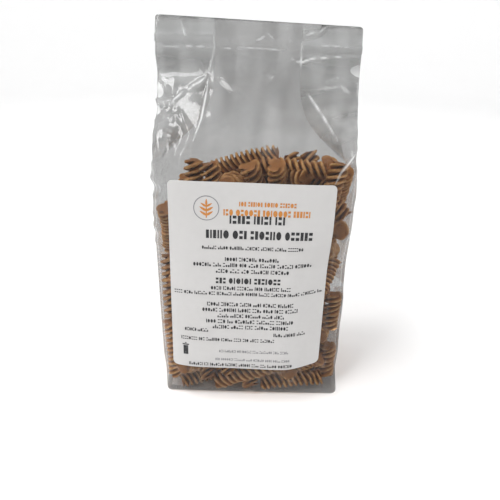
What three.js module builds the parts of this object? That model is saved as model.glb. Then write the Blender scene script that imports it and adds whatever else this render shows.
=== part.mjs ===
// A clear side-gusset bag of spiral pasta, heat sealed across the top, with a paper label on its front.
// The sealed bag is one solid out to its film, and the label is a thin curved sheet just clear of it.
// Millimetres, +Z up. The label faces -Y, and the origin is the middle of the flat base.
import * as THREE from "three";

const { clamp, lerp, seededRandom, smoothstep } = THREE.MathUtils;

// ---- Driving dimensions ----
const BODY_WIDTH = 101; // across the filled part, between the lowest places of the side film
const BODY_DEPTH = 60; // each side gusset opened out: two folds of 30 mm
const FLAT_WIDTH = 102.5; // across the top, where the film lies flat
const BASE_WIDTH = 99; // across the folded base
const BAG_HEIGHT = 198; // at the middle of the top edge
const SEAL_LOW = 185.5; // lower edge of the pressed seal band
const SEAL_HIGH = 189.5; // upper edge of the seal band
const FILL_HEIGHT = 138; // where the front and the back start to close over the pasta
const GROOVE_SHUT = 171; // where the side folds start to lie together

const FLAT_THICKNESS = 1.2; // the layers of film in the flat top
const SEAL_RAISE = 0.3; // how far the pressed band stands out on each face
const EDGE_RADIUS = 0.6; // on the flat top's side edges
const CORNER_RADIUS = 7; // on the filled part's upright edges
const BASE_CORNER_RADIUS = 3; // on the same edges where they meet the base
const BASE_RADIUS = 2; // where the walls turn into the base
const BASE_RISE = 25; // the height over which the sharp folds of the base turn into the round body
const TOP_CORNER_RADIUS = 2;

// How far the filling pushes out the middle of each wall, at the belly and just under the shoulder.
const FRONT_BULGE = { belly: 7, shoulder: 3 };
const BACK_BULGE = { belly: 6.4, shoulder: 3 };
const SIDE_BULGE = { belly: 0.6, shoulder: 0.4 };
const BELLY_HEIGHT = 28; // where that is most
const BULGE_POWER = 5; // over 2, a wall is flat across its middle and turns near its edges
// Low on the right the front film falls back, because no pasta fills that corner.
const RECESS = { depth: 8.5, from: 16, to: 46, top: 92, fade: 16 };
const CLOSING_POWER = 0.7; // under 1, the film turns in early and then runs straight to the seal
const SEAL_LEAN = 4.8; // how far back the seal stands from the middle of the base
const FLAP_LEAN = 3; // how much further back the top edge stands
const TOP_SKEW = 2.1; // the left end of the top stands this much higher, and the right end lower
const SKEW_START = 60; // the height from which the skew grows
const SWAY = 0.9; // how far the belly stands to the left of the base
const FLAP_WAVE = 0.9; // height of the waves along the loose flap over the seal
const FLAP_WAVE_LENGTH = 34;

const PASTA_DIAMETER = 10.5;
const PASTA_LENGTH = 34;
const PRESS_HEIGHT = 1.3; // how far a spiral presses the film out
const PRESS_SPACING = { around: 21, up: 9.5 };
const PRESS_TOP = 126; // the spirals' relief fades out from here to the fill height
const PRESS_SEED = 41;

// Where the side film stands out over a spiral, or falls in between two. side is +1 on the right.
const SIDE_SWELLS = [
  { side: 1, height: 126, amount: 1.1, reach: 5 },
  { side: 1, height: 113, amount: -1.3, reach: 7 },
  { side: -1, height: 88, amount: 1.0, reach: 20 },
  { side: -1, height: 18, amount: -0.9, reach: 5 },
];

const LABEL = {
  width: 81,
  height: 105,
  x: -2.4, // its middle
  z: 75.6,
  turn: THREE.MathUtils.degToRad(0.8), // its right side lies a little lower
  thickness: 0.35,
  clearance: 0.35, // from the film behind it
  cornerRadius: 2.5,
  margin: 2, // the film is smooth this far round it
  fade: 5, // and is as rough as elsewhere this much further out
};

// How many cells each face of the bag and of the label has.
const BAG_CELLS = { across: 24, deep: 12 };
const LABEL_CELLS = { across: 16, up: 20 };
const ROW_STEP = { base: 3, body: 5, shoulder: 3.4, flap: 3 };

// ---- The bag's form, height by height ----

// 1 in the filled part, 0 in the flat top.
function openness(z) {
  const closed = clamp((z - FILL_HEIGHT) / (SEAL_LOW - FILL_HEIGHT), 0, 1);
  return (1 + Math.cos(Math.PI * closed ** CLOSING_POWER)) / 2;
}

function halfDepth(z) {
  return lerp(FLAT_THICKNESS, BODY_DEPTH, openness(z)) / 2;
}

function halfWidth(z) {
  const filled = lerp(BASE_WIDTH, BODY_WIDTH, smoothstep(z, BASE_RISE / 2, BASE_RISE));
  return lerp(FLAT_WIDTH, filled, openness(z)) / 2;
}

function cornerRadius(z) {
  const filled = lerp(BASE_CORNER_RADIUS, CORNER_RADIUS, smoothstep(z, 0, BASE_RISE));
  return lerp(EDGE_RADIUS, filled, openness(z));
}

// How far the walls stand in from their place where they turn into the base.
function baseInset(z) {
  const up = clamp(z / BASE_RADIUS, 0, 1);
  return BASE_RADIUS * (1 - Math.sqrt(1 - (1 - up) ** 2));
}

// A gusset is two equal folds, so what the bag loses in depth the fold takes inwards.
function foldDepth(z) {
  const fold = BODY_DEPTH / 2;
  const open = Math.min(halfDepth(z), fold);
  const shut = smoothstep(z, GROOVE_SHUT, SEAL_LOW - 1);
  return Math.sqrt(fold ** 2 - open ** 2) * (1 - shut);
}

function lean(z) {
  const towardsSeal = clamp((z - FILL_HEIGHT) / (SEAL_LOW - FILL_HEIGHT), 0, 1);
  const overSeal = clamp((z - SEAL_HIGH) / (BAG_HEIGHT - SEAL_HIGH), 0, 1);
  return SEAL_LEAN * towardsSeal ** 2 + FLAP_LEAN * overSeal;
}

// How far a section stands to the left of the base.
function sway(z) {
  return SWAY * Math.sin((Math.PI * z) / BAG_HEIGHT);
}

// A wall's bulge at a height: it rises fast from the base to the belly, and then falls slowly.
function bulgeAt(z, bulge) {
  const risen = 1 - (1 - Math.min(z / BELLY_HEIGHT, 1)) ** 2;
  const fallen = clamp((z - BELLY_HEIGHT) / (FILL_HEIGHT - BELLY_HEIGHT), 0, 1);
  return risen * lerp(bulge.belly, bulge.shoulder, fallen) * openness(z);
}

// The bulge at a share of the way from the wall's middle, 0, to its edge, 1.
function wallBulge(share, z, bulge) {
  return bulgeAt(z, bulge) * (1 - Math.min(Math.abs(share), 1) ** BULGE_POWER);
}

// How far the front film falls back, low on the right.
function frontRecess(x, z) {
  const risen = smoothstep(z, BASE_RADIUS, BASE_RISE / 2);
  const ended = smoothstep(z, RECESS.top - RECESS.fade, RECESS.top + RECESS.fade);
  return RECESS.depth * smoothstep(x, RECESS.from, RECESS.to) * (risen - ended);
}

function sideSwell(side, z) {
  return SIDE_SWELLS.filter((swell) => swell.side === side).reduce(
    (sum, swell) => sum + swell.amount * Math.exp(-(((z - swell.height) / swell.reach) ** 2)),
    0,
  );
}

// ---- The spirals that press the film out ----

// Each is a short line in the unrolled wall, with around measured from the middle of the front.
function pressLines() {
  const lines = [];
  const halfRound = BODY_WIDTH + BODY_DEPTH;
  seededRandom(PRESS_SEED);
  for (let z = PRESS_SPACING.up; z < FILL_HEIGHT; z += PRESS_SPACING.up) {
    for (let around = -halfRound; around < halfRound; around += PRESS_SPACING.around) {
      const angle = Math.PI * seededRandom();
      const half = (PASTA_LENGTH - PASTA_DIAMETER) * lerp(0.3, 0.5, seededRandom());
      const middle = new THREE.Vector2(
        around + PRESS_SPACING.around * seededRandom(),
        z + PRESS_SPACING.up * (seededRandom() - 0.5),
      );
      const reach = new THREE.Vector2(Math.cos(angle), Math.sin(angle)).multiplyScalar(half);
      lines.push({ start: middle.clone().sub(reach), end: middle.clone().add(reach) });
    }
  }
  return lines;
}

const PRESS_LINES = pressLines();

function distanceToLine(point, { start, end }) {
  const along = end.clone().sub(start);
  const share = clamp(point.clone().sub(start).dot(along) / along.lengthSq(), 0, 1);
  return point.distanceTo(start.clone().addScaledVector(along, share));
}

// The height of the spirals' relief on the film, fading out at the base and at the shoulder.
function pressRelief(around, z) {
  const point = new THREE.Vector2(around, z);
  const nearest = Math.min(...PRESS_LINES.map((line) => distanceToLine(point, line)));
  const dome = Math.max(0, 1 - (nearest / (0.6 * PASTA_DIAMETER)) ** 2);
  const fade = smoothstep(z, BASE_RADIUS, 2 * BASE_RADIUS) - smoothstep(z, PRESS_TOP, FILL_HEIGHT);
  return PRESS_HEIGHT * dome * fade;
}

// Where a wall point lies round the bag, from the middle of the front: + to the right, - to the left.
function aroundFrom(x, y, z) {
  const [wide, deep] = [halfWidth(z), halfDepth(z)];
  const onSide = wide - Math.abs(x) < deep - Math.abs(y);
  if (onSide) return Math.sign(x) * (wide + y + deep);
  if (y < 0) return x;
  return (x < 0 ? -1 : 1) * (2 * wide - Math.abs(x) + 2 * deep);
}

// 0 on and near the label, 1 away from it.
function clearOfLabel(x, y, z) {
  if (y > 0) return 1;
  const beside = Math.abs(x - sway(z) - LABEL.x) - LABEL.width / 2;
  const above = Math.abs(z - LABEL.z) - LABEL.height / 2;
  return smoothstep(Math.max(beside, above), LABEL.margin, LABEL.margin + LABEL.fade);
}

// ---- Geometry ----

// Moves every vertex of a geometry to the place that a function gives for it.
function reshape(geometry, place) {
  const positions = geometry.getAttribute("position");
  const point = new THREE.Vector3();
  for (let i = 0; i < positions.count; i += 1) {
    point.fromBufferAttribute(positions, i);
    place(point);
    positions.setXYZ(i, point.x, point.y, point.z);
  }
  geometry.computeVertexNormals();
  return geometry;
}

// Spreads cells so that they are finer near both ends. u runs from -0.5 to 0.5.
function finerAtEnds(u, share) {
  return lerp(u, Math.sin(Math.PI * u) / 2, share);
}

// Takes a point of a rectangle to the same rectangle with round corners, its rim moved out by relief.
function roundOff(x, y, halfX, halfY, radius, relief) {
  const inner = { x: clamp(x, radius - halfX, halfX - radius), y: clamp(y, radius - halfY, halfY - radius) };
  const step = { x: x - inner.x, y: y - inner.y };
  const length = Math.hypot(step.x, step.y);
  if (length === 0) return { x, y };
  const reach = (Math.max(Math.abs(step.x), Math.abs(step.y)) * (radius + relief)) / radius;
  return { x: inner.x + (step.x / length) * reach, y: inner.y + (step.y / length) * reach };
}

function evenly(from, to, step) {
  const count = Math.ceil((to - from) / step);
  return Array.from({ length: count }, (_, i) => lerp(from, to, i / count));
}

// The heights of the bag's rows of vertices: close together in the base's arc and at the seal's edges.
function rowHeights() {
  const arc = Array.from({ length: ROW_STEP.base }, (_, i) =>
    BASE_RADIUS * (1 - Math.cos(((Math.PI / 2) * i) / ROW_STEP.base)),
  );
  return [
    ...arc,
    ...evenly(BASE_RADIUS, FILL_HEIGHT, ROW_STEP.body),
    ...evenly(FILL_HEIGHT, SEAL_LOW, ROW_STEP.shoulder),
    SEAL_LOW,
    SEAL_LOW + SEAL_RAISE,
    SEAL_HIGH - SEAL_RAISE,
    ...evenly(SEAL_HIGH, BAG_HEIGHT, ROW_STEP.flap),
    BAG_HEIGHT,
  ];
}

// The top edge drops at its two rounded corners.
function topCornerDrop(x) {
  const into = clamp((Math.abs(x) - FLAT_WIDTH / 2 + TOP_CORNER_RADIUS) / TOP_CORNER_RADIUS, 0, 1);
  return TOP_CORNER_RADIUS * (1 - Math.sqrt(1 - into ** 2));
}

// The relief on the wall at a point of the plain section.
function wallRelief(x, y, z) {
  const [wide, deep] = [halfWidth(z), halfDepth(z)];
  const facing = clamp(1 - (deep - Math.abs(y)) / CORNER_RADIUS, 0, 1);
  const front = wallBulge(x / wide, z, y < 0 ? FRONT_BULGE : BACK_BULGE);
  const sideways = clamp(1 - (wide - Math.abs(x)) / CORNER_RADIUS, 0, 1);
  const press = pressRelief(aroundFrom(x, y, z), z) * clearOfLabel(x, y, z);
  const swell = sideSwell(Math.sign(x), z) * openness(z);
  const pressed = z > SEAL_LOW && z < SEAL_HIGH ? SEAL_RAISE : 0;
  return facing * (front + pressed) + sideways * (wallBulge(y / deep, z, SIDE_BULGE) + swell) + press;
}

function bagGeometry() {
  const rows = rowHeights();
  const up = rows.length - 1;
  const box = new THREE.BoxGeometry(1, 1, 1, BAG_CELLS.across, BAG_CELLS.deep, up);
  return reshape(box, (point) => {
    const z = rows[Math.round((point.z + 0.5) * up)];
    const inset = baseInset(z);
    const wide = halfWidth(z) - inset;
    const deep = halfDepth(z) - inset * openness(z);
    const x = 2 * wide * finerAtEnds(point.x, 0.4);
    const y = 2 * deep * finerAtEnds(point.y, 0.2);
    const relief = z > 0 ? wallRelief(x, y, z) : 0;
    const rim = roundOff(x, y, wide, deep, cornerRadius(z), relief);

    const onSide = Math.abs(point.x) > 0.499;
    const inwards = onSide ? foldDepth(z) * (1 - Math.abs(y) / deep) : 0;
    const recess = frontRecess(rim.x, z) * clamp(-y / deep, 0, 1);
    const flap = clamp((z - SEAL_HIGH) / (BAG_HEIGHT - SEAL_HIGH), 0, 1);
    const wave = FLAP_WAVE * flap * Math.sin((2 * Math.PI * rim.x) / FLAP_WAVE_LENGTH);
    const skew = TOP_SKEW * smoothstep(z, SKEW_START, SEAL_LOW) * (rim.x / (FLAT_WIDTH / 2));

    point.x = rim.x - Math.sign(rim.x) * inwards - sway(z);
    point.y = rim.y + lean(z) + wave + recess;
    point.z = z - skew - topCornerDrop(rim.x) * flap;
  });
}

// The smooth front film behind the label.
function frontFilm(x, z) {
  const across = x + sway(z);
  return lean(z) - halfDepth(z) - wallBulge(across / halfWidth(z), z, FRONT_BULGE) + frontRecess(across, z);
}

function labelGeometry() {
  const sheet = new THREE.BoxGeometry(1, 1, 1, LABEL_CELLS.across, 1, LABEL_CELLS.up);
  return reshape(sheet, (point) => {
    const flat = roundOff(
      LABEL.width * finerAtEnds(point.x, 0.5),
      LABEL.height * finerAtEnds(point.z, 0.5),
      LABEL.width / 2,
      LABEL.height / 2,
      LABEL.cornerRadius,
      0,
    );
    const x = LABEL.x + flat.x * Math.cos(LABEL.turn) + flat.y * Math.sin(LABEL.turn);
    const z = LABEL.z - flat.x * Math.sin(LABEL.turn) + flat.y * Math.cos(LABEL.turn);
    const outwards = LABEL.clearance + LABEL.thickness * (0.5 - point.y);
    point.set(x, frontFilm(x, z) - outwards, z);
  });
}

// ---- The pieces ----

function piece(name, geometry, material) {
  const mesh = new THREE.Mesh(geometry, material);
  mesh.name = name;
  return mesh;
}

const film = new THREE.MeshStandardMaterial({ color: 0x9a6640, roughness: 0.25, metalness: 0 });
const paper = new THREE.MeshStandardMaterial({ color: 0xdcdde0, roughness: 0.6, metalness: 0 });

const pack = new THREE.Group();
pack.add(piece("bag", bagGeometry(), film));
pack.add(piece("label", labelGeometry(), paper));

export default pack;
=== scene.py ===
"""A clear side-gusset bag of spiral pasta with a paper label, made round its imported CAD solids.

The spirals are settled as short rods in the bag's own form and made as joined meshes. The film is one
thin closed surface that drapes over them. Metres, +Z up, and the label faces -Y.
"""

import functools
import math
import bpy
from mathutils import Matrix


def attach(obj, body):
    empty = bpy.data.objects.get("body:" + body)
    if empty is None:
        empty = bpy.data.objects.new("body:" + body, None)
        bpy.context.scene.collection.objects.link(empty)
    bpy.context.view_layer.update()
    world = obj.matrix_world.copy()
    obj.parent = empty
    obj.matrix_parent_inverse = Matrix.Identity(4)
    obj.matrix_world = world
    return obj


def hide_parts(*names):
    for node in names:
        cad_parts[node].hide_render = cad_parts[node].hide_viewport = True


bl_info = {
    "name": "Pack of Lentil Pasta",
    "version": (1, 0, 0),
    "blender": (4, 5, 0),
    "location": "3D View > Sidebar > Pasta Pack",
    "description": "Makes a clear gusset bag of spiral pasta, its paper label and a plain studio",
    "category": "Add Mesh",
}

from typing import NamedTuple

import bmesh
import bpy
import numpy as np
from bpy.props import FloatProperty, FloatVectorProperty, IntProperty, PointerProperty
from mathutils import Matrix, Vector

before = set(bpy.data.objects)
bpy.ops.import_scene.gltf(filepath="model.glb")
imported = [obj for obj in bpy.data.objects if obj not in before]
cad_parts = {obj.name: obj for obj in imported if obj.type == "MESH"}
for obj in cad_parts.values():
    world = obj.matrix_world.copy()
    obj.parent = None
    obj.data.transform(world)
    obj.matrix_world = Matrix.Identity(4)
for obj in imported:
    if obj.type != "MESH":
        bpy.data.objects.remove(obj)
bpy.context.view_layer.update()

MM = 0.001

# ---- The bag's form, as in the part's source ----

BASE_WIDTH = 99 * MM
FLAT_THICKNESS = 1.2 * MM
SEAL_RAISE = 0.3 * MM
EDGE_RADIUS = 0.6 * MM
CORNER_RADIUS = 7 * MM
BASE_CORNER_RADIUS = 3 * MM
BASE_RADIUS = 2 * MM
BASE_RISE = 25 * MM
TOP_CORNER_RADIUS = 2 * MM
FRONT_BULGE = (7 * MM, 3 * MM)  # at the belly, and just under the shoulder
BACK_BULGE = (6.4 * MM, 3 * MM)
SIDE_BULGE = (0.6 * MM, 0.4 * MM)
BELLY_HEIGHT = 28 * MM
BULGE_POWER = 5
RECESS_DEPTH = 8.5 * MM  # how far the front film falls back, low on the right
RECESS_ACROSS = (16 * MM, 46 * MM)
RECESS_TOP = 92 * MM
RECESS_FADE = 16 * MM
CLOSING_POWER = 0.7
SEAL_LEAN = 4.8 * MM
FLAP_LEAN = 3 * MM
TOP_SKEW = 2.1 * MM
SKEW_START = 60 * MM
SWAY = 0.9 * MM
FLAP_WAVE = 0.9 * MM
FLAP_WAVE_LENGTH = 34 * MM
SHOULDER_REACH = 9 * MM  # the film turns in over this far above and below the fill height
SHOULDER_STEPS = 9
LABEL_CLEARANCE = 0.35 * MM
LABEL_CORNER_RADIUS = 2.5 * MM

# ---- The heap of spirals ----

# The heap's top as seen from the front, from the left to the right: x and z in millimetres.
HEAP_OUTLINE = [
    (-50, 102), (-44, 109), (-38, 126), (-26, 133), (-12, 130),
    (5, 138), (20, 131), (31, 138), (45, 133), (51, 125),
]
HEAP_FALL = 0.38  # the top falls by this share of the way to the back
HEAP_FRONT = -8 * MM
HEAP_FLOOR = 0.5 * MM  # under the lowest spirals, over the folds of the base
HEAP_CORNER_RADIUS = 7 * MM
ROD_SHARE = 0.9  # of a spiral's radius: neighbours reach this far into each other's grooves
SETTLE_STEPS = 620
WALL_STEPS = 12  # further steps at the end that only bring spirals in from the film
END_CORNER = 0.7 * MM  # a spiral's flat end stands out this far past its rod's round end
SETTLE_FALL = 0.05 * MM
NEIGHBOUR_REACH = 38 * MM  # rods whose middles are further apart than this can't touch
ROD_END = 0.55  # of a spiral's radius: its flat ends stand this far past the ends of its rod
STICK_OUT = 0.9 * MM  # the most that a loose spiral presses the side and back film out
STICK_OUT_SHARES = (-0.3, 1)  # of it, from the least to the most
FRONT_ZONE = -0.6  # of half the depth: in front of this nothing presses the film out
# Places along a rod that are kept inside the film, and how much further out each reaches.
ROD_CHECKS = ((0.0, END_CORNER), (0.3, 0.0), (0.7, 0.0), (1.0, END_CORNER))
# The loose spirals before they settle.
START_SPREAD = 0.8  # the share of the bag's width and depth that they start in
START_CLIMB = math.radians(30)  # how far they usually lean up or down
LENGTH_SPREAD = 0.05
BROKEN_CHANCE = 0.08
BROKEN_LENGTH = 0.45  # of a whole one's rod

FRONT, BACK = 0, 2  # faces of the film, counted right round it. The odd ones are its sides.


def clamp01(value):
    return np.clip(value, 0.0, 1.0)


def lerp(start, end, share):
    return start + (end - start) * share


def smoothstep(value, low, high):
    share = clamp01((value - low) / (high - low))
    return share * share * (3 - 2 * share)


# ---- Settings ----


def length_setting(name, description, millimetres):
    return FloatProperty(name=name, description=description, default=millimetres * MM, unit="LENGTH")


def color_setting(name, description, default):
    return FloatVectorProperty(
        name=name, description=description, default=default, subtype="COLOR", min=0, max=1
    )


def light_setting(name, description, default):
    return FloatProperty(name=name, description=description, default=default, min=0)


class BagSettings(bpy.types.PropertyGroup):
    body_width: length_setting("Body width", "Across the filled part", 101)
    body_depth: length_setting("Body depth", "Each gusset opened out", 60)
    flat_width: length_setting("Flat width", "Across the flat top", 102.5)
    height: length_setting("Height", "At the middle of the top edge", 198)
    seal_low: length_setting("Seal's lower edge", "Where the seal band starts", 185.5)
    seal_high: length_setting("Seal's upper edge", "Where the seal band ends", 189.5)
    fill_height: length_setting("Fill height", "Where the walls start to close", 138)
    clear_color: color_setting("Film over pasta", "What the tight film lets through", (0.95, 0.95, 0.945))
    grey_color: color_setting("Empty film", "What the empty top's far film lets through", (0.36, 0.36, 0.358))


class PastaSettings(bpy.types.PropertyGroup):
    diameter: length_setting("Diameter", "Across a spiral's fins", 10.5)
    length: length_setting("Length", "Of a whole spiral", 34)
    pitch: length_setting("Pitch", "Along the spiral for one turn", 9.0)
    core_diameter: length_setting("Core", "Across the solid middle of a spiral", 4.2)
    count: IntProperty(name="Count", description="Loose spirals in the bag", default=172, min=1)
    seed: IntProperty(name="Seed", description="Sets where the spirals fall", default=11)
    # The pale fin edges: partly wear, partly a painted highlight.
    rim_color: color_setting("Fin edges", "The worn edges of the fins", (0.77, 0.44, 0.17))
    flesh_color: color_setting("Fin sides", "The sides of the fins", (0.45, 0.18, 0.042))
    # Painted shade: the grooves and the inside of the heap take this dark colour, for the shade that falls
    # there.
    groove_and_heap_shade_color: color_setting("Grooves", "The grooves and the inside of the heap", (0.10, 0.036, 0.010))


class LabelSettings(bpy.types.PropertyGroup):
    width: length_setting("Width", "Across the label", 81)
    height: length_setting("Height", "Up the label", 105)
    x: length_setting("Middle across", "The middle's place", -2.4)
    z: length_setting("Middle up", "The middle's height", 75.6)
    turn: FloatProperty(
        name="Turn", description="How far its right side hangs", default=math.radians(0.8), subtype="ANGLE"
    )
    thickness: length_setting("Thickness", "Of the paper and its glue", 0.22)
    paper_color: color_setting("Paper", "The plain paper", (0.53, 0.52, 0.512))
    black_color: color_setting("Black ink", "Most of the print", (0.012, 0.012, 0.014))
    grey_color: color_setting("Grey ink", "The faint print", (0.22, 0.22, 0.23))
    orange_color: color_setting("Orange ink", "The emblem and the heading", (0.50, 0.19, 0.03))


class StudioSettings(bpy.types.PropertyGroup):
    floor_color: color_setting("Floor", "The floor and the backdrop", (0.9, 0.9, 0.9))
    room_light: light_setting("Room light", "Soft light from all round", 0.38)
    key_light: light_setting("Key light", "The large light at the upper left", 6.6)
    strip_light: light_setting("Strip lights", "The two tall narrow lights", 0.5)
    backdrop_light: light_setting("Backdrop light", "On the wall behind the pack", 14.0)


class PackSettings(bpy.types.PropertyGroup):
    bag: PointerProperty(type=BagSettings)
    pasta: PointerProperty(type=PastaSettings)
    label: PointerProperty(type=LabelSettings)
    studio: PointerProperty(type=StudioSettings)


def settings():
    return bpy.context.scene.pasta_pack


# ---- The bag's form, height by height ----


class BagForm(NamedTuple):
    """The outside of the filled bag. Every function takes arrays as well as single numbers."""

    body_width: float
    fold: float
    flat_width: float
    height: float
    seal_low: float
    seal_high: float
    fill_height: float

    def openness(self, z):
        """1 in the filled part, 0 in the flat top."""
        closed = clamp01((z - self.fill_height) / (self.seal_low - self.fill_height))
        return (1 + np.cos(np.pi * closed**CLOSING_POWER)) / 2

    def half_depth(self, z):
        """Half the bag's depth, with the sharp turn at the fill height rounded."""
        reach = SHOULDER_REACH * (1 - smoothstep(z, self.fill_height + SHOULDER_REACH, self.seal_low))
        offsets = np.linspace(-1, 1, SHOULDER_STEPS)
        open_share = sum(self.openness(z + offset * reach) for offset in offsets) / SHOULDER_STEPS
        return lerp(FLAT_THICKNESS / 2, self.fold, open_share)

    def half_width(self, z):
        filled = lerp(BASE_WIDTH, self.body_width, smoothstep(z, BASE_RISE / 2, BASE_RISE))
        return lerp(self.flat_width, filled, self.openness(z)) / 2

    def corner_radius(self, z):
        filled = lerp(BASE_CORNER_RADIUS, CORNER_RADIUS, smoothstep(z, 0, BASE_RISE))
        return lerp(EDGE_RADIUS, filled, self.openness(z))

    def base_inset(self, z):
        """How far the walls stand in where they turn into the base."""
        up = clamp01(z / BASE_RADIUS)
        return BASE_RADIUS * (1 - np.sqrt(1 - (1 - up) ** 2))

    def fold_depth(self, z):
        """How far each side gusset is folded in: what the bag loses in depth."""
        half = np.minimum(self.half_depth(z), self.fold)
        return np.sqrt(self.fold**2 - half**2)

    def over_seal(self, z):
        return clamp01((z - self.seal_high) / (self.height - self.seal_high))

    def lean(self, z):
        towards_seal = clamp01((z - self.fill_height) / (self.seal_low - self.fill_height))
        return SEAL_LEAN * towards_seal**2 + FLAP_LEAN * self.over_seal(z)

    def sway(self, z):
        return SWAY * np.sin(np.pi * z / self.height)

    def skew(self, x, z):
        return TOP_SKEW * smoothstep(z, SKEW_START, self.seal_low) * x / (self.flat_width / 2)

    def bulge(self, share, z, amounts):
        """How far the filling pushes a wall out, at a share of the way from its middle to its edge."""
        belly, shoulder = amounts
        risen = 1 - (1 - np.minimum(z / BELLY_HEIGHT, 1)) ** 2
        fallen = clamp01((z - BELLY_HEIGHT) / (self.fill_height - BELLY_HEIGHT))
        at_height = risen * lerp(belly, shoulder, fallen) * self.openness(z)
        return at_height * (1 - np.minimum(np.abs(share), 1) ** BULGE_POWER)

    def recess(self, x, z):
        risen = smoothstep(z, BASE_RADIUS, BASE_RISE / 2)
        ended = smoothstep(z, RECESS_TOP - RECESS_FADE, RECESS_TOP + RECESS_FADE)
        return RECESS_DEPTH * smoothstep(x, *RECESS_ACROSS) * (risen - ended)

    def front(self, x, z):
        """The y of the plain front film behind the label."""
        across = x + self.sway(z)
        out = self.half_depth(z) + self.bulge(across / self.half_width(z), z, FRONT_BULGE)
        return self.lean(z) - out + self.recess(across, z)


def round_off(x, y, half_x, half_y, radius, relief):
    """Takes points of a rectangle to the same one with round corners, its rim moved out by the relief."""
    inner_x = np.clip(x, radius - half_x, half_x - radius)
    inner_y = np.clip(y, radius - half_y, half_y - radius)
    step_x, step_y = x - inner_x, y - inner_y
    length = np.hypot(step_x, step_y)
    safe = np.maximum(length, 1e-12)
    reach = np.maximum(np.abs(step_x), np.abs(step_y)) * (radius + relief) / radius
    return inner_x + step_x / safe * reach, inner_y + step_y / safe * reach


# ---- Settling the spirals ----


class Rods(NamedTuple):
    """Spirals as short rods: both ends, and how far each may press the film out."""

    start: np.ndarray
    end: np.ndarray
    stick_out: np.ndarray


class Placed(NamedTuple):
    """A spiral with a place of its own, like those that the photograph shows: its ends in millimetres."""

    start: tuple
    end: tuple


PLACED_SPIRALS = [
    # Above the label, from the left to the right.
    Placed((-29, -20, 132), (-31, -20, 101)),
    Placed((-21, -24, 132), (-16, -25, 102)),
    Placed((-14, -27, 124), (-1, -1, 116)),
    Placed((-6, -20, 130), (8, -12, 103)),
    Placed((8, -7, 135), (-20, 1, 124)),
    Placed((11, -24, 134), (14, -9, 107)),
    Placed((18, -4, 132), (22, -27, 107)),
    Placed((22, 3, 124), (50, 8, 120)),
    Placed((28, 0, 132), (38, -12, 106)),
    Placed((40, -24, 133), (33, -28, 103)),
    Placed((45, -14, 127), (44, 4, 102)),
    Placed((-25, 9, 118), (5, 14, 116)),
    Placed((5, 16, 114), (35, 18, 112)),
    # Down the right of the label.
    Placed((44, -24, 101), (46, 5, 93)),
    Placed((38, -28, 88), (45, 0, 78)),
    Placed((36, -28, 61), (45.5, -3, 70)),
    Placed((44.6, -18, 58), (44.2, -20, 43)),
    Placed((38, -24, 36), (45, 4, 30)),
    Placed((43.7, -17, 24), (42.5, -18, 9)),
    # Down the left of the label.
    Placed((-46.5, -20, 108), (-47.5, -6, 84)),
    Placed((-47.5, -20, 80), (-47.5, -22, 49)),
    Placed((-46.5, -24, 42), (-46, -26, 13)),
    # Under the label.
    Placed((-38, -26, 7), (-10, -15, 8)),
    Placed((-18, -31, 7), (9, -30, 20)),
    Placed((9, -32, 7), (38, -24, 8)),
    # Behind the label's upper edge, seen only from above.
    Placed((-37, -11, 111), (-9, -17, 108)),
    Placed((-30, 3, 114), (-8, -9, 113)),
]
PLACED_STIFFNESS = 0.15  # how freely a placed spiral gives way to the others
PLACED_PULL = 0.1  # the share of the way back to its place that it moves in each step
PLACED_STICK_OUT = 1.2 * MM  # how far they press the side and back film out


def nearest_shares(start_a, way_a, start_b, way_b):
    """How far along two segments, from 0 to 1, they come nearest to each other."""
    apart = start_a - start_b
    aa = np.sum(way_a * way_a, axis=1)
    bb = np.sum(way_b * way_b, axis=1)
    ab = np.sum(way_a * way_b, axis=1)
    a_apart = np.sum(way_a * apart, axis=1)
    b_apart = np.sum(way_b * apart, axis=1)
    crossing = np.maximum(aa * bb - ab * ab, 1e-14)
    share_a = clamp01((ab * b_apart - a_apart * bb) / crossing)
    share_b = clamp01((ab * share_a + b_apart) / bb)
    share_a = clamp01((ab * share_b - a_apart) / aa)
    return share_a[:, None], share_b[:, None]


def heap_top(x, y):
    """How high the heap reaches at each place."""
    outline_x, outline_z = np.array(HEAP_OUTLINE).T * MM
    return np.interp(x, outline_x, outline_z) - HEAP_FALL * (y - HEAP_FRONT)


def wall_push(form, point, reach, top):
    """How far balls with a given reach must move to lie in the bag and under a top."""
    x, y, z = point.T
    across = x + form.sway(z)
    away = y - form.lean(z)
    wide = form.half_width(z) - form.fold_depth(z) * (1 - clamp01(np.abs(away) / form.half_depth(z)))
    share = across / form.half_width(z)
    front = form.half_depth(z) + form.bulge(share, z, FRONT_BULGE) - form.recess(across, z)
    back = form.half_depth(z) + form.bulge(share, z, BACK_BULGE)
    deep = np.where(away < 0, front, back)
    over_x = np.abs(across) - (wide - HEAP_CORNER_RADIUS)
    over_y = np.abs(away) - (deep - HEAP_CORNER_RADIUS)
    corner = (over_x > 0) & (over_y > 0)
    length = np.where(corner, np.hypot(over_x, over_y), np.maximum(over_x, over_y))
    toward_x = np.where(corner, over_x / np.maximum(length, 1e-9), over_x >= over_y)
    toward_y = np.where(corner, over_y / np.maximum(length, 1e-9), over_x < over_y)
    outside = np.maximum(length - HEAP_CORNER_RADIUS + reach, 0)
    push = np.zeros_like(point)
    push[:, 0] = -np.sign(across) * toward_x * outside
    push[:, 1] = -np.sign(away) * toward_y * outside
    push[:, 2] = np.maximum(HEAP_FLOOR + reach - z, 0) + np.minimum(top - reach - z, 0)
    return push


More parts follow.
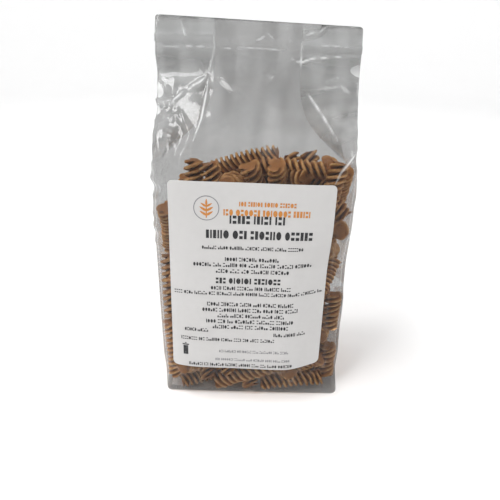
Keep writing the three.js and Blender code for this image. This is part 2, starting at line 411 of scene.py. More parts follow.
def random_rods(form, pasta, draw):
    """Rods at random places in the bag, most of them lying rather than standing."""
    count = pasta.count
    middle = draw.uniform(-1, 1, (count, 3)) * (form.body_width / 2, form.fold, 0) * START_SPREAD
    middle[:, 2] = draw.uniform(HEAP_FLOOR, form.fill_height, count)
    heading = draw.uniform(0, 2 * math.pi, count)
    climb = draw.normal(0, START_CLIMB, count)
    way = np.stack([np.cos(heading) * np.cos(climb), np.sin(heading) * np.cos(climb), np.sin(climb)], axis=1)
    half = (draw.normal(1, LENGTH_SPREAD, (count, 1)) * pasta.length - ROD_END * pasta.diameter) / 2
    broken = draw.uniform(size=count) < BROKEN_CHANCE
    half[broken] *= BROKEN_LENGTH
    return middle - half * way, middle + half * way


def share_out(moves, hits, rods, share, give):
    """Adds a push at a share of the way along rods to the moves of their two ends."""
    for side, weight in ((0, 1 - share), (1, share)):
        np.add.at(moves[side], rods, give * weight)
        np.add.at(hits[side], rods, weight)


def push_apart(ends, free, radius, pairs, moves, hits):
    """Pushes each two rods that overlap away from each other."""
    start, way = ends[0], ends[1] - ends[0]
    middle = start + way / 2
    one, two = pairs
    close = np.linalg.norm(middle[one] - middle[two], axis=1) < NEIGHBOUR_REACH
    one, two = one[close], two[close]
    share_one, share_two = nearest_shares(start[one], way[one], start[two], way[two])
    apart = start[one] + share_one * way[one] - start[two] - share_two * way[two]
    gap = np.linalg.norm(apart, axis=1, keepdims=True)
    touching = gap[:, 0] < 2 * radius
    one, two, share_one, share_two = one[touching], two[touching], share_one[touching], share_two[touching]
    push = apart[touching] / np.maximum(gap[touching], 1e-9) * (2 * radius - gap[touching])
    for rod, other, share, sign in ((one, two, share_one, 1), (two, one, share_two, -1)):
        part = free[rod] / (free[rod] + free[other])
        share_out(moves, hits, rod, share, sign * push * part / (share**2 + (1 - share) ** 2))


def push_inside(form, ends, reach, stick_out, kept, moves, hits):
    """Pushes rods back inside the film, and the loose ones under the heap's top.

    Only the side and the back film give way a little.
    """
    start, way = ends[0], ends[1] - ends[0]
    every = np.arange(len(start))
    for at, extra in ROD_CHECKS:
        share = np.full((len(start), 1), at)
        point = start + share * way
        give_way = np.where(point[:, 1] < FRONT_ZONE * form.fold, 0, stick_out)
        top = heap_top(point[:, 0], point[:, 1])
        top[:kept] = form.seal_low
        give = wall_push(form, point, reach + extra - give_way, top) / (share**2 + (1 - share) ** 2)
        struck = np.linalg.norm(give, axis=1) > 0
        share_out(moves, hits, every[struck], share[struck], give[struck])


def keep_length(ends, length):
    middle = ends.mean(axis=0)
    half = (ends[1] - ends[0]) / 2
    half *= length / 2 / np.maximum(np.linalg.norm(half, axis=1, keepdims=True), 1e-9)
    return np.stack([middle - half, middle + half])


@functools.cache
def settled_rods(form, pasta):
    """Moves overlapping rods apart and into the bag, a little at a time, under a light fall."""
    draw = np.random.default_rng(pasta.seed)
    start, end = random_rods(form, pasta, draw)
    placed = np.array([(spiral.start, spiral.end) for spiral in PLACED_SPIRALS]) * MM
    ends = np.stack([np.concatenate([placed[:, 0], start]), np.concatenate([placed[:, 1], end])])
    count, kept = ends.shape[1], len(placed)
    free = np.ones((count, 1))
    free[:kept] = PLACED_STIFFNESS
    length = np.linalg.norm(ends[1] - ends[0], axis=1, keepdims=True)
    reach = pasta.diameter / 2
    stick_out = draw.uniform(*STICK_OUT_SHARES, count) * STICK_OUT
    stick_out[:kept] = PLACED_STICK_OUT
    pairs = np.triu_indices(count, 1)
    home = ends[:, :kept].copy()
    for step in range(SETTLE_STEPS + WALL_STEPS):
        moves = np.zeros_like(ends)
        hits = np.full((2, count, 1), 1e-9)
        if step < SETTLE_STEPS:
            ends[:, kept:, 2] -= SETTLE_FALL
            push_apart(ends, free, reach * ROD_SHARE, pairs, moves, hits)
        push_inside(form, ends, reach, stick_out, kept, moves, hits)
        ends = keep_length(ends + moves / np.maximum(hits, 1), length)
        if step < SETTLE_STEPS:
            ends[:, :kept] += PLACED_PULL * (home - ends[:, :kept])
    return Rods(ends[0], ends[1], stick_out)


class PastaSizes(NamedTuple):
    """What the settled rods depend on, besides the bag's form."""

    diameter: float
    length: float
    count: int
    seed: int


def bag_form():
    bag = settings().bag
    return BagForm(
        body_width=bag.body_width,
        fold=bag.body_depth / 2,
        flat_width=bag.flat_width,
        height=bag.height,
        seal_low=bag.seal_low,
        seal_high=bag.seal_high,
        fill_height=bag.fill_height,
    )


def bag_rods():
    pasta = settings().pasta
    return settled_rods(bag_form(), PastaSizes(pasta.diameter, pasta.length, pasta.count, pasta.seed))


# ---- Meshes ----


def grid_shape(places, **values):
    """A bmesh grid at the given places, an array of rows, columns and three coordinates."""
    rows, columns = places.shape[:2]
    shape = bmesh.new()
    bmesh.ops.create_grid(shape, x_segments=columns - 1, y_segments=rows - 1, size=1)
    layers = {name: shape.verts.layers.float.new(name) for name in values}
    for vert in shape.verts:
        column = round((vert.co.x + 1) / 2 * (columns - 1))
        row = round((vert.co.y + 1) / 2 * (rows - 1))
        vert.co = places[row, column]
        for name, layer in layers.items():
            vert[layer] = values[name][row, column]
    return shape


def add_object(name, shape, material, sharp=None):
    """Turns a finished bmesh into a smooth object in the scene."""
    for face in shape.faces:
        face.smooth = True
    mesh = bpy.data.meshes.new(name)
    shape.to_mesh(mesh)
    shape.free()
    if sharp is not None:
        mesh.set_sharp_from_angle(angle=sharp)
    mesh.materials.append(material)
    made = bpy.data.objects.new(name, mesh)
    bpy.context.scene.collection.objects.link(made)
    return made


def add_piece(name, shape, material, node, sharp=None):
    """Makes a piece of the pack that stands for a CAD node."""
    piece = add_object(name, shape, material, sharp)
    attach(piece, "root")
    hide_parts(node)


SHARP = math.radians(50)
RIPPLE_WAVES = 12
RIPPLE_SPREAD = (0.7, 1.6)  # of the size, from the shortest wave to the longest
RIPPLE_PEAK = 1.6  # brings nearly all of them between -1 and 1


def ripples(across, up, size, seed):
    """Smooth uneven waves of about a given size, from about -1 to 1."""
    draw = np.random.default_rng(seed)
    total = np.zeros(np.broadcast(across, up).shape)
    for _ in range(RIPPLE_WAVES):
        turn = draw.uniform(0, math.pi)
        pace = 2 * math.pi / (size * draw.uniform(*RIPPLE_SPREAD))
        total += np.cos(pace * (np.cos(turn) * across + np.sin(turn) * up) + draw.uniform(0, 2 * math.pi))
    return total / math.sqrt(RIPPLE_WAVES) / RIPPLE_PEAK


# ---- The spirals ----

BLADES = 3
# Half of a blade's section: degrees from the blade's middle, and the share of the way out from the core.
BLADE_SECTION = [(0, 1.0), (15, 0.985), (26, 0.87), (34, 0.5), (44, 0.1), (60, 0.0)]
ROWS_PER_TURN = 12
END_FILLS = (0.5, 0.1, 0.3)  # how much of its grooves a cut end has pressed shut, for each bent shape
# The kinds of spiral in the bag: share of the pitch, and share of the fin's width.
SPIRAL_KINDS = {
    "spirals_even": (1.0, 1.0),
    "spirals_tight": (0.9, 0.94),
    "spirals_loose": (1.12, 1.06),
}
BEND = 0.9 * MM
FIN_UNEVEN = 0.45 * MM  # how far a fin's edge strays from an even screw
FIN_UNEVEN_SIZE = 8 * MM
CUT_RIM = 0.84  # the cut ends are nearly as pale as the fins' edges
CUT_FADE = 0.3  # and less so by this at the core
BOW_MIDDLE = 0.4  # the share of a bend that the middle takes to one side. The ends take the rest.
WHOLE_SHARE = 0.8  # of the full length, over which a spiral counts as whole
SHORT_SHARE = 0.55  # of the full length, for the shape of the broken ones
GIRTH_SPREAD = 0.035
CORE_INSET = 12.5 * MM  # the inside of the heap, painted dark as shade, starts this deep
CORE_DEPTH_GAIN = 2 * MM  # but nearer to the front and the back by this
CORE_CUTS = 30
CORE_ROUNDNESS = 0.12
CORE_LUMP = 0.05
CORE_LUMPS = (11 * MM, 5)  # their size and their seed


def blade_outline(fin_width):
    """Angles and shares for a whole section of a spiral, round its axis."""
    half = [(degrees * fin_width if share > 0 else degrees, share) for degrees, share in BLADE_SECTION]
    blade = [(-degrees, share) for degrees, share in reversed(half[1:])] + half[:-1]
    step = 360 / BLADES
    return [(math.radians(degrees + step * k), share) for k in range(BLADES) for degrees, share in blade]


def spiral_template(pasta, pitch_share, fin_width, length, bend, end_fill):
    """One spiral along Z, its middle at the origin, with how far out each point of it lies."""
    outline = blade_outline(fin_width)
    core, reach = pasta.core_diameter / 2, pasta.diameter / 2
    pitch = pasta.pitch * pitch_share
    rows = round(length / pitch * ROWS_PER_TURN)
    shape = bmesh.new()
    rim = shape.verts.layers.float.new("rim")
    ring = bmesh.ops.create_circle(shape, segments=len(outline), radius=1)["verts"]
    for vert, (angle, share) in zip(ring, outline):
        out = lerp(core, reach, share)
        vert.co = (out * math.cos(angle), out * math.sin(angle), -length / 2)
    bmesh.ops.spin(
        shape, geom=shape.verts[:] + shape.edges[:], cent=(0, 0, 0), axis=(0, 0, 1),
        dvec=(0, 0, length / rows), angle=2 * math.pi * length / pitch, steps=rows,
        use_merge=False, use_normal_flip=False, use_duplicate=False,
    )
    bmesh.ops.holes_fill(shape, edges=shape.edges[:], sides=0)
    cuts = [face for face in shape.faces if len(face.verts) > 4]
    for vert in {vert for face in cuts for vert in face.verts}:
        out = vert.co.xy.length
        vert.co.xy *= max(out, lerp(core, reach, end_fill)) / out
    bmesh.ops.triangulate(shape, faces=cuts)
    bmesh.ops.recalc_face_normals(shape, faces=shape.faces[:])
    seed = round(bend / BEND * 10 + pitch_share * 1000)
    x, y, z = np.array([vert.co for vert in shape.verts]).T
    strays = [ripples(x + z, y - z, FIN_UNEVEN_SIZE, seed + k) * FIN_UNEVEN for k in (0, 1)]
    for vert, along, outward in zip(shape.verts, *strays):
        share = (vert.co.xy.length - core) / (reach - core)
        bow = bend * ((2 * vert.co.z / length) ** 2 - BOW_MIDDLE)
        at_end = abs(vert.co.z) > length / 2 - MM / 100
        vert[rim] = CUT_RIM + CUT_FADE * (share - 1) if at_end else share
        vert.co.z += float(along) * share
        vert.co.xy *= 1 + (float(outward) * share - FIN_UNEVEN) / reach
        vert.co.x += bow
    mesh = bpy.data.meshes.new("spiral_template")
    shape.to_mesh(mesh)
    shape.free()
    return mesh


def core_room(form, points):
    """How deep points lie under the heap's own surface: its walls and its top."""
    x, y, z = points.T
    across, away = x + form.sway(z), y - form.lean(z)
    walls = np.minimum(form.half_width(z) - np.abs(across), form.half_depth(z) - np.abs(away))
    return np.minimum(np.minimum(walls, heap_top(x, y) - z), z)


def add_spirals(form, pasta, rods, material):
    """Makes each settled rod a spiral, in one joined mesh for each kind."""
    draw = np.random.default_rng(pasta.seed + 1)
    length = np.linalg.norm(rods.end - rods.start, axis=1) + ROD_END * pasta.diameter
    shown = core_room(form, (rods.start + rods.end) / 2) < CORE_INSET + pasta.diameter
    whole = length > WHOLE_SHARE * pasta.length
    sizes = (pasta.length, pasta.length * SHORT_SHARE)
    kinds = list(SPIRAL_KINDS)
    kind_of = np.arange(len(length)) % len(kinds)
    for index, name in enumerate(kinds):
        pitch_share, fin_width = SPIRAL_KINDS[name]
        templates = [
            spiral_template(pasta, pitch_share, fin_width, size, BEND * k / (len(END_FILLS) - 1), end_fill)
            for size in sizes
            for k, end_fill in enumerate(END_FILLS)
        ]
        shape = bmesh.new()
        tone = shape.verts.layers.float.new("tone")
        for rod in np.flatnonzero(shown & (kind_of == index)):
            short = 0 if whole[rod] else 1
            pick = draw.integers(len(END_FILLS)) + short * len(END_FILLS)
            before = len(shape.verts)
            shape.from_mesh(templates[pick])
            shape.verts.ensure_lookup_table()
            fresh = shape.verts[before:]
            middle = Vector((rods.start[rod] + rods.end[rod]) / 2)
            way = Vector(rods.end[rod] - rods.start[rod])
            girth = draw.normal(1, GIRTH_SPREAD)
            place = (
                Matrix.Translation(middle)
                @ way.to_track_quat("Z", "Y").to_matrix().to_4x4()
                @ Matrix.Rotation(draw.uniform(0, 2 * math.pi), 4, "Z")
                @ Matrix.Diagonal((girth, girth, length[rod] / sizes[short], 1))
            )
            bmesh.ops.transform(shape, matrix=place, verts=fresh)
            shade = draw.uniform(-1, 1)
            for vert in fresh:
                vert[tone] = shade
        add_piece(name, shape, material, "bag", sharp=SHARP)
        for template in templates:
            bpy.data.meshes.remove(template)


def add_heap_core(form, material):
    """The dark uneven inside of the heap, which fills the gaps behind the outer spirals: painted shade in
    place of the spirals deep in the heap.
    """
    shape = bmesh.new()
    bmesh.ops.create_cube(shape, size=2)
    bmesh.ops.subdivide_edges(shape, edges=shape.edges[:], cuts=CORE_CUTS, use_grid_fill=True)
    low = HEAP_FLOOR + CORE_INSET / 2
    for vert in shape.verts:
        u, v, w = vert.co
        past_face = u * u + v * v + w * w - max(abs(u), abs(v), abs(w)) ** 2
        spread = math.sqrt(1 - CORE_ROUNDNESS * past_face)
        x = u * spread * (form.body_width / 2 - CORE_INSET)
        y = v * spread * (form.fold - CORE_INSET + CORE_DEPTH_GAIN)
        top = float(heap_top(np.array(x), np.array(y))) - CORE_INSET
        z = lerp(low, top, (w * spread + 1) / 2)
        lump = 1 + CORE_LUMP * float(ripples(x + z, y - z, *CORE_LUMPS))
        vert.co = (x * lump, y * lump, z)
    bmesh.ops.recalc_face_normals(shape, faces=shape.faces[:])
    add_piece("heap_core", shape, material, "bag")


# ---- The film ----

FILM_COLUMNS = (200, 56, 80, 56)  # on the front, the right, the back and the left
BASE_ROWS = 4  # of the film, round the edge of the base
# Between its further rows: up the body, over the shoulder, up the seal band and up the flap.
ROW_STEPS = (1.15 * MM, 0.85 * MM, 0.66 * MM, 0.9 * MM)
FILM_GAP = 0.15 * MM
FILM_SHARP = math.radians(75)
DRAPE_STEPS = 260
DRAPE_PULL = 0.011 * MM  # how far each step draws the slack film in
DRAPE_SAG = (1.3 * MM, 0.5 * MM)  # at the front and the back, and at the sides
# Heights between which something starts and is full, and then fades and has ended.
DRAPED = ((0, 4 * MM), (142 * MM, 158 * MM))
TILTED = ((140 * MM, 156 * MM), (172 * MM, 184 * MM))
WAVY = ((140 * MM, 160 * MM), (176 * MM, 185 * MM))
SPHERE_STEP = 1.6 * MM
FLAT_END = 0.8 * MM  # the balls reach this far past a rod's ends, for the corners of the spiral's flat ends
BALL_MARGIN = 5 * MM  # balls further than this above or below a row, past their reach, are left out
FAR_IN = -1.0  # metres, where no ball holds the film out
MOST_PRESSED = 2.1 * MM  # the furthest that spirals hold the film out of its plain form
UNDER_LABEL = 0.12 * MM
LABEL_FADE = 4 * MM  # the label's hold on the film ends this far past its edges
LABEL_SLACK = 1 * MM  # and there the film falls back from it by this at the most

# How the film's shader sees it: see film_material.
EMPTY_RISE = (134 * MM, 150 * MM)
SEALED_CLEAR = 0.7  # the share of the near film's grey that it loses from the seal up
FOOT_FALL = (3 * MM, 20 * MM)
FOOT_SHADE = 2.4  # painted shade: how far the near film over the folds of the base dims what is seen through it, against that of the empty top
GUSSET_MILK_AND_HIGHLIGHT = (0.48, 0.36)  # how pale the folded-in film of the empty top is, on the left and on the right: partly milky film, partly a painted highlight, more of it on the lit left
MILK_UNEVEN = 0.6
FRONT_MILK = 0.09  # how milky the front film of the empty top is in its streaks
STREAK_UP = 0.3  # the streaks run up the bag: their waves see this share of the height
BAND_EDGE = 0.3 * MM

# Uneven waves, each by its size and its seed, and how high some of them are.
BROAD_CRUMPLES, BROAD_CRUMPLE_HEIGHT = (15 * MM, 8), 0.8 * MM
FINE_CRUMPLES, FINE_CRUMPLE_HEIGHT = (6 * MM, 9), 0.35 * MM
WIDE_WAVES, WIDE_WAVE_HEIGHT = (34 * MM, 3), 0.6 * MM
FINE_WAVES, FINE_WAVE_HEIGHT = (12 * MM, 4), 0.14 * MM
INNER_WAVES = 0.6  # how high the waves are on the folded-in sides, as a share
FACE_SHIFTS = (20 * MM, -30 * MM)  # how far the two sorts of wave are shifted from face to face
CRUMPLE_ROUND = 0.5  # how fast the crumples change round onto the sides
FINE_CRUMPLE_UP = 0.6  # the fine ones are longer up the bag: they see this share of the height
MILK_CLOUDS = (14 * MM, 6)
FRONT_STREAKS = (13 * MM, 12)


class Bunch(NamedTuple):
    """Slack film bunched at one side: how much of it, and where across and up it starts and is full."""

    side: int
    amount: float
    across: tuple
    up: tuple  # as DRAPED


BUNCHES = (
    Bunch(-1, 1.0, (36 * MM, 46 * MM), ((84 * MM, 104 * MM), (162 * MM, 176 * MM))),
    Bunch(1, 0.5, (40 * MM, 48 * MM), ((104 * MM, 128 * MM), (165 * MM, 178 * MM))),
)


class Crease(NamedTuple):
    """A fold line in the front film: its points (x, z) and half its width, in millimetres."""

    line: tuple
    width: float
    steepness: float = 0.4
    white_and_highlight: float = 0.1  # how bright the painted highlight along the line is


PANEL_EDGE = 22 * MM  # the upright folds of the empty top stand this far from its middle
PANEL_SLOPES = (0.24, 0.12)  # of the film outside them, on the left and on the right
CREASE_END = 0.3  # how full a crease is at its ends
CREASE_HIGHLIGHT = 0.6  # half the width in millimetres of the painted highlight line along a crease
HIGHLIGHT_BREAKS = (6, 31)  # the breaks in the painted highlight lines: their size in millimetres, and their seed
BREAK_MIDDLE = 0.6
BREAK_DEPTH = 0.5
CREASES = [
    Crease(((-38.9, 199), (-36.9, 192), (-35.9, 190)), 1.6, 0.25, 0.35),
    Crease(((-22.6, 198), (-21.8, 186), (-22.6, 183), (-24.4, 172)), 0.9, 0.25, 0.5),
    Crease(((-20.6, 198), (-19.9, 186), (-20.6, 181)), 0.8, 0.2),
    Crease(((-24.4, 172), (-25.7, 162), (-27, 154), (-31, 144)), 1.3, 0.5, 0.8),
    Crease(((-24.9, 173), (-29, 169.5), (-34.9, 166.7)), 2.2, 0.5, 0.7),
    Crease(((-34.9, 166.7), (-38.6, 163.7), (-43.6, 159.4)), 1.1, 0.6, 0.6),
    Crease(((-29.5, 180), (-28, 178), (-27.5, 175)), 1.5, 0.5),
    Crease(((-22.4, 172.6), (-17.9, 171.8), (-11.3, 166.7), (-8.7, 164.2)), 2.4, 0.36, 0.2),
    Crease(((-42.9, 153.7), (-39.2, 155.4), (-33.8, 150)), 1.4, 0.6),
    Crease(((-37.5, 157), (-31.7, 148), (-36, 138), (-37, 128)), 3.4, 0.42),
    Crease(((-2, 188.8), (1.9, 190.2), (4.3, 192.1), (8.3, 189)), 1.6, 0.3, 0.5),
    Crease(((14, 197), (15.3, 188)), 1.8, 0.2, 0.3),
    Crease(((18.2, 188.7), (22.4, 191.9), (29.7, 193.4), (35, 197)), 1.5, 0.25, 0.35),
    Crease(((22.4, 197), (21.2, 188), (21, 179), (22.1, 168)), 0.9, 0.3, 0.45),
    Crease(((26.6, 187.5), (50.3, 186.3)), 0.8, 0.4, 0.4),
    Crease(((-50, 185.6), (-36, 185.9), (-23, 185.5)), 0.8, 0.3, 0.4),
    Crease(((-21, 185.3), (-2, 185.6), (18, 184.8)), 0.8, 0.3, 0.45),
    Crease(((15.5, 180.9), (21, 179.2), (26.9, 181.3), (37.7, 182.2), (50, 182.9)), 0.9, 0.5, 0.6),
    Crease(((21, 179), (24.5, 178.8), (31.4, 178), (45.2, 181)), 0.9, 0.5),
    Crease(((22.6, 168.1), (31.1, 156.6), (39.2, 146.1)), 1.2, 0.55, 0.75),
    Crease(((28, 165.2), (33, 157.5), (37.6, 148)), 0.9, 0.5),
    Crease(((38.6, 152.3), (38.9, 146.5)), 0.8, 0.5),
    Crease(((39.2, 145.9), (48.8, 145.2)), 1.0, 0.5),
    Crease(((49.1, 143.2), (45.1, 138.9), (40.3, 133.3), (37, 127.1)), 0.9, 0.5, 0.6),
    Crease(((25.6, 167.3), (34, 171), (42.9, 172.8), (50.3, 173)), 2.4, 0.3),
    Crease(((-0.1, 172.1), (3.3, 174.4), (6.3, 172.2), (3.4, 170.4), (-0.1, 172.1)), 1.6, 0.3, 0.2),
]


def film_columns():
    """The face that each column of the film is on, and its share from -1 to 1 along that face."""
    faces = np.repeat(range(4), FILM_COLUMNS)
    shares = np.concatenate([2 * np.arange(count) / count - 1 for count in FILM_COLUMNS])
    return np.append(faces, faces[0]), np.append(shares, shares[0])


def evenly(start, end, step):
    count = math.ceil((end - start) / step)
    return [lerp(start, end, k / count) for k in range(count)]


def film_heights(form):
    """The heights of the film's rows."""
    rows = [BASE_RADIUS * (1 - math.cos(math.pi / 2 * k / BASE_ROWS)) for k in range(BASE_ROWS)]
    levels = (BASE_RADIUS, form.fill_height, form.seal_low, form.seal_high, form.height)
    for low, high, step in zip(levels, levels[1:], ROW_STEPS):
        rows += evenly(low, high, step)
    return np.array(rows + [form.height])


def plain_film(form, z, face, share):
    """The film's plain form before it drapes, in rows and columns."""
    inset = form.base_inset(z)
    wide = form.half_width(z) - inset
    deep = form.half_depth(z) - inset * form.openness(z)
    on = [face == k for k in range(4)]
    x = wide * np.select(on, [share, 1, -share, -1])
    y = deep * np.select(on, [-1, share, 1, -share])
    facing = clamp01(1 - (deep - np.abs(y)) / CORNER_RADIUS)
    sideways = clamp01(1 - (wide - np.abs(x)) / CORNER_RADIUS)
    front = form.bulge(x / wide, z, FRONT_BULGE)
    back = form.bulge(x / wide, z, BACK_BULGE)
    side = form.bulge(y / deep, z, SIDE_BULGE)
    in_band = (z > form.seal_low) & (z < form.seal_high)
    relief = facing * (np.where(y < 0, front, back) + SEAL_RAISE * in_band) + sideways * side
    rim_x, rim_y = round_off(x, y, wide, deep, form.corner_radius(z), relief)
    folded = np.where(face % 2 == 1, form.fold_depth(z) * (1 - np.abs(y) / deep), 0)
    recess = form.recess(rim_x, z) * clamp01(-y / deep)
    flap = form.over_seal(z)
    wave = FLAP_WAVE * flap * np.sin(2 * math.pi * rim_x / FLAP_WAVE_LENGTH)
    drop_share = clamp01((np.abs(rim_x) - form.flat_width / 2 + TOP_CORNER_RADIUS) / TOP_CORNER_RADIUS)
    drop = TOP_CORNER_RADIUS * (1 - np.sqrt(1 - drop_share**2)) * flap
    return np.stack(
        [
            rim_x - np.sign(rim_x) * folded - form.sway(z),
            rim_y + form.lean(z) + wave + recess,
            z - form.skew(rim_x, z) - drop,
        ],
        axis=-1,
    )


def grid_normals(places):
    """Outward directions for rows and columns that go right round, whose last column is the first."""
    ring = places[:, :-1]
    across = np.roll(ring, -1, axis=1) - np.roll(ring, 1, axis=1)
    up = np.gradient(ring, axis=0)
    normal = np.cross(across, up)
    normal /= np.maximum(np.linalg.norm(normal, axis=2, keepdims=True), 1e-12)
    return np.concatenate([normal, normal[:, :1]], axis=1)


def rod_balls(rods):
    """Points along every rod, close enough together for balls on them to make its smooth outside."""
    length = np.linalg.norm(rods.end - rods.start, axis=1)
    balls = []
    for start, end, size in zip(rods.start, rods.end, length):
        count = max(2, round(size / SPHERE_STEP))
        past = FLAT_END / size
        shares = np.linspace(-past, 1 + past, count)[:, None]
        balls.append(start + shares * (end - start))
    return np.concatenate(balls)


def pressed_out(places, normals, balls, reach):
    """How far out along its normal each place must go to clear the balls. Far in, where none is near."""
    pressed = np.full(places.shape[:2], FAR_IN)
    for row, (points, ways) in enumerate(zip(places, normals)):
        near = balls[np.abs(balls[:, 2] - points[:, 2].mean()) < reach + BALL_MARGIN]
        if len(near) == 0:
            continue
        apart = near[None] - points[:, None]
        along = np.einsum("pbk,pk->pb", apart, ways)
        beside = np.einsum("pbk,pbk->pb", apart, apart) - along**2
        out = np.where(beside < reach**2, along + np.sqrt(np.maximum(reach**2 - beside, 0)), FAR_IN)
        pressed[row] = out.max(axis=1)
    return pressed


def drape(pressed, slack_low):
    """Draws the film in between the places that hold it out, like a skin under a slight vacuum."""
    film = np.maximum(pressed, slack_low)
    for _ in range(DRAPE_STEPS):
        ring = film[:, :-1]
        near = np.roll(ring, 1, axis=1) + np.roll(ring, -1, axis=1)
        near[1:-1] += ring[2:] + ring[:-2]
        near[1:-1] /= 4
        near[[0, -1]] /= 2
        fresh = np.maximum(np.maximum(near - DRAPE_PULL, pressed[:, :-1]), slack_low[:, :-1])
        film = np.concatenate([fresh, fresh[:, :1]], axis=1)
    return film


def line_distance(x, z, line):
    """How far points lie from a line of points, and how far along it from 0 to 1. All in millimetres."""
    nearest, along = np.full(x.shape, np.inf), np.zeros(x.shape)
    parts = len(line) - 1
    for part, ((x0, z0), (x1, z1)) in enumerate(zip(line, line[1:])):
        run, rise = x1 - x0, z1 - z0
        share = clamp01(((x - x0) * run + (z - z0) * rise) / (run * run + rise * rise))
        distance = np.hypot(x - x0 - share * run, z - z0 - share * rise)
        along = np.where(distance < nearest, (part + share) / parts, along)
        nearest = np.minimum(nearest, distance)
    return nearest, along


def creased(places, face):
    """How far the creases stand out, and the painted highlight line along each. Each is a ridge that tapers
    to its ends.
    """
    relief, white_and_highlight = np.zeros(places.shape[:2]), np.zeros(places.shape[:2])
    x, z = places[..., 0] / MM, places[..., 2] / MM
    for crease in CREASES:
        distance, along = line_distance(x, z, crease.line)
        fullness = lerp(CREASE_END, 1, np.sin(math.pi * along))
        height = crease.steepness * np.maximum(crease.width * fullness - distance, 0) * MM
        relief = np.maximum(relief, (face == FRONT) * height)
        # Painted highlight: a pale line along each crease, in place of the glint off the fold.
        line = crease.white_and_highlight * fullness * np.exp(-((distance / (CREASE_HIGHLIGHT * fullness)) ** 2))
        white_and_highlight = np.maximum(white_and_highlight, (face == FRONT) * line)
    broken = BREAK_MIDDLE + BREAK_DEPTH * ripples(x, z, *HIGHLIGHT_BREAKS)
    return relief, white_and_highlight * clamp01(broken)


def label_cover(label, x, z):
    """1 behind the label, 0 away from it."""
    beside = np.abs(x - label.x) - label.width / 2
    above = np.abs(z - label.z) - label.height / 2
    return 1 - smoothstep(np.maximum(beside, above), 0, LABEL_FADE)


class LabelWave(NamedTuple):
    """Low waves near one edge of the label: the heights where they end and are full, a crest, a width."""

    ended: float
    full: float
    crest: float
    width: float


LABEL_WAVES = (
    LabelWave(ended=108 * MM, full=128 * MM, crest=20 * MM, width=9 * MM),
    LabelWave(ended=38 * MM, full=23 * MM, crest=12 * MM, width=8 * MM),
)
LABEL_WAVE_HEIGHT = 0.22 * MM


def label_wave(x, z):
    """How far the label and the film behind it stand out in low waves near its top and bottom edges."""
    waves = (
        smoothstep(z, wave.ended, wave.full) * (1 + np.cos((x - wave.crest) / wave.width))
        for wave in LABEL_WAVES
    )
    return LABEL_WAVE_HEIGHT * sum(waves)


def between(z, heights):
    """1 between two heights and 0 outside them, with a soft start and a soft end."""
    rise, fall = heights
    return smoothstep(z, *rise) * (1 - smoothstep(z, *fall))


def film_relief(label, places, normals, face, share, rods, pasta):
    """How far the film stands out of its plain form where the spirals and the label hold it."""
    x, z = places[..., 0], places[..., 2]
    cover = (face == FRONT) * label_cover(label, x, z)
    held = between(z, DRAPED)
    pressed = pressed_out(places, normals, rod_balls(rods), pasta.diameter / 2 + FILM_GAP)
    pressed = np.minimum(pressed, MOST_PRESSED)
    pressed = np.where(pressed > FAR_IN / 2, pressed * held, FAR_IN)
    near_label = np.maximum(np.minimum(pressed, UNDER_LABEL), UNDER_LABEL * cover - LABEL_SLACK)
    pressed = np.where(cover > 0, near_label, pressed)
    pressed = np.where(cover > 0.5, UNDER_LABEL, pressed)
    sag = np.where(face % 2 == 0, *DRAPE_SAG) * (1 - share**4)
    slack_low = -sag * held * np.ones_like(pressed)
    film = drape(pressed, slack_low)
    return np.where(cover > 0, lerp(film, UNDER_LABEL, cover), film) + cover * label_wave(x, z)


def crumples(places, face):
    """Sharp small folds where slack film is bunched: by the upright edges, and over the shoulder."""
    x, y, z = np.moveaxis(places, -1, 0)
    slack = sum(
        bunch.amount * smoothstep(bunch.side * x, *bunch.across) * between(z, bunch.up) for bunch in BUNCHES
    )
    along = x + CRUMPLE_ROUND * y
    broad = 1 - 2 * np.abs(ripples(along, z, *BROAD_CRUMPLES))
    fine = 1 - 2 * np.abs(ripples(along, FINE_CRUMPLE_UP * z, *FINE_CRUMPLES))
    return (face != BACK) * slack * (BROAD_CRUMPLE_HEIGHT * broad + FINE_CRUMPLE_HEIGHT * fine)


def panel_tilt(form, places):
    """How far the front film falls back towards its upright edges, outside the folds that hold its middle."""
    x, y, z = np.moveaxis(places, -1, 0)
    left = PANEL_SLOPES[0] * np.maximum(-x - PANEL_EDGE, 0)
    right = PANEL_SLOPES[1] * np.maximum(x - PANEL_EDGE, 0)
    return (left + right) * between(z, TILTED) * clamp01((form.lean(z) - y) / form.half_depth(z))


def soft_waves(places, face):
    """Low wide waves all over the empty top, which end at the seal band."""
    x, y, z = np.moveaxis(places, -1, 0)
    wide = ripples(x + FACE_SHIFTS[0] * face, z + y, *WIDE_WAVES) * WIDE_WAVE_HEIGHT
    fine = ripples(x + FACE_SHIFTS[1] * face, z, *FINE_WAVES) * FINE_WAVE_HEIGHT
    return between(z, WAVY) * (wide + fine) * np.where(face % 2 == 1, INNER_WAVES, 1.0)


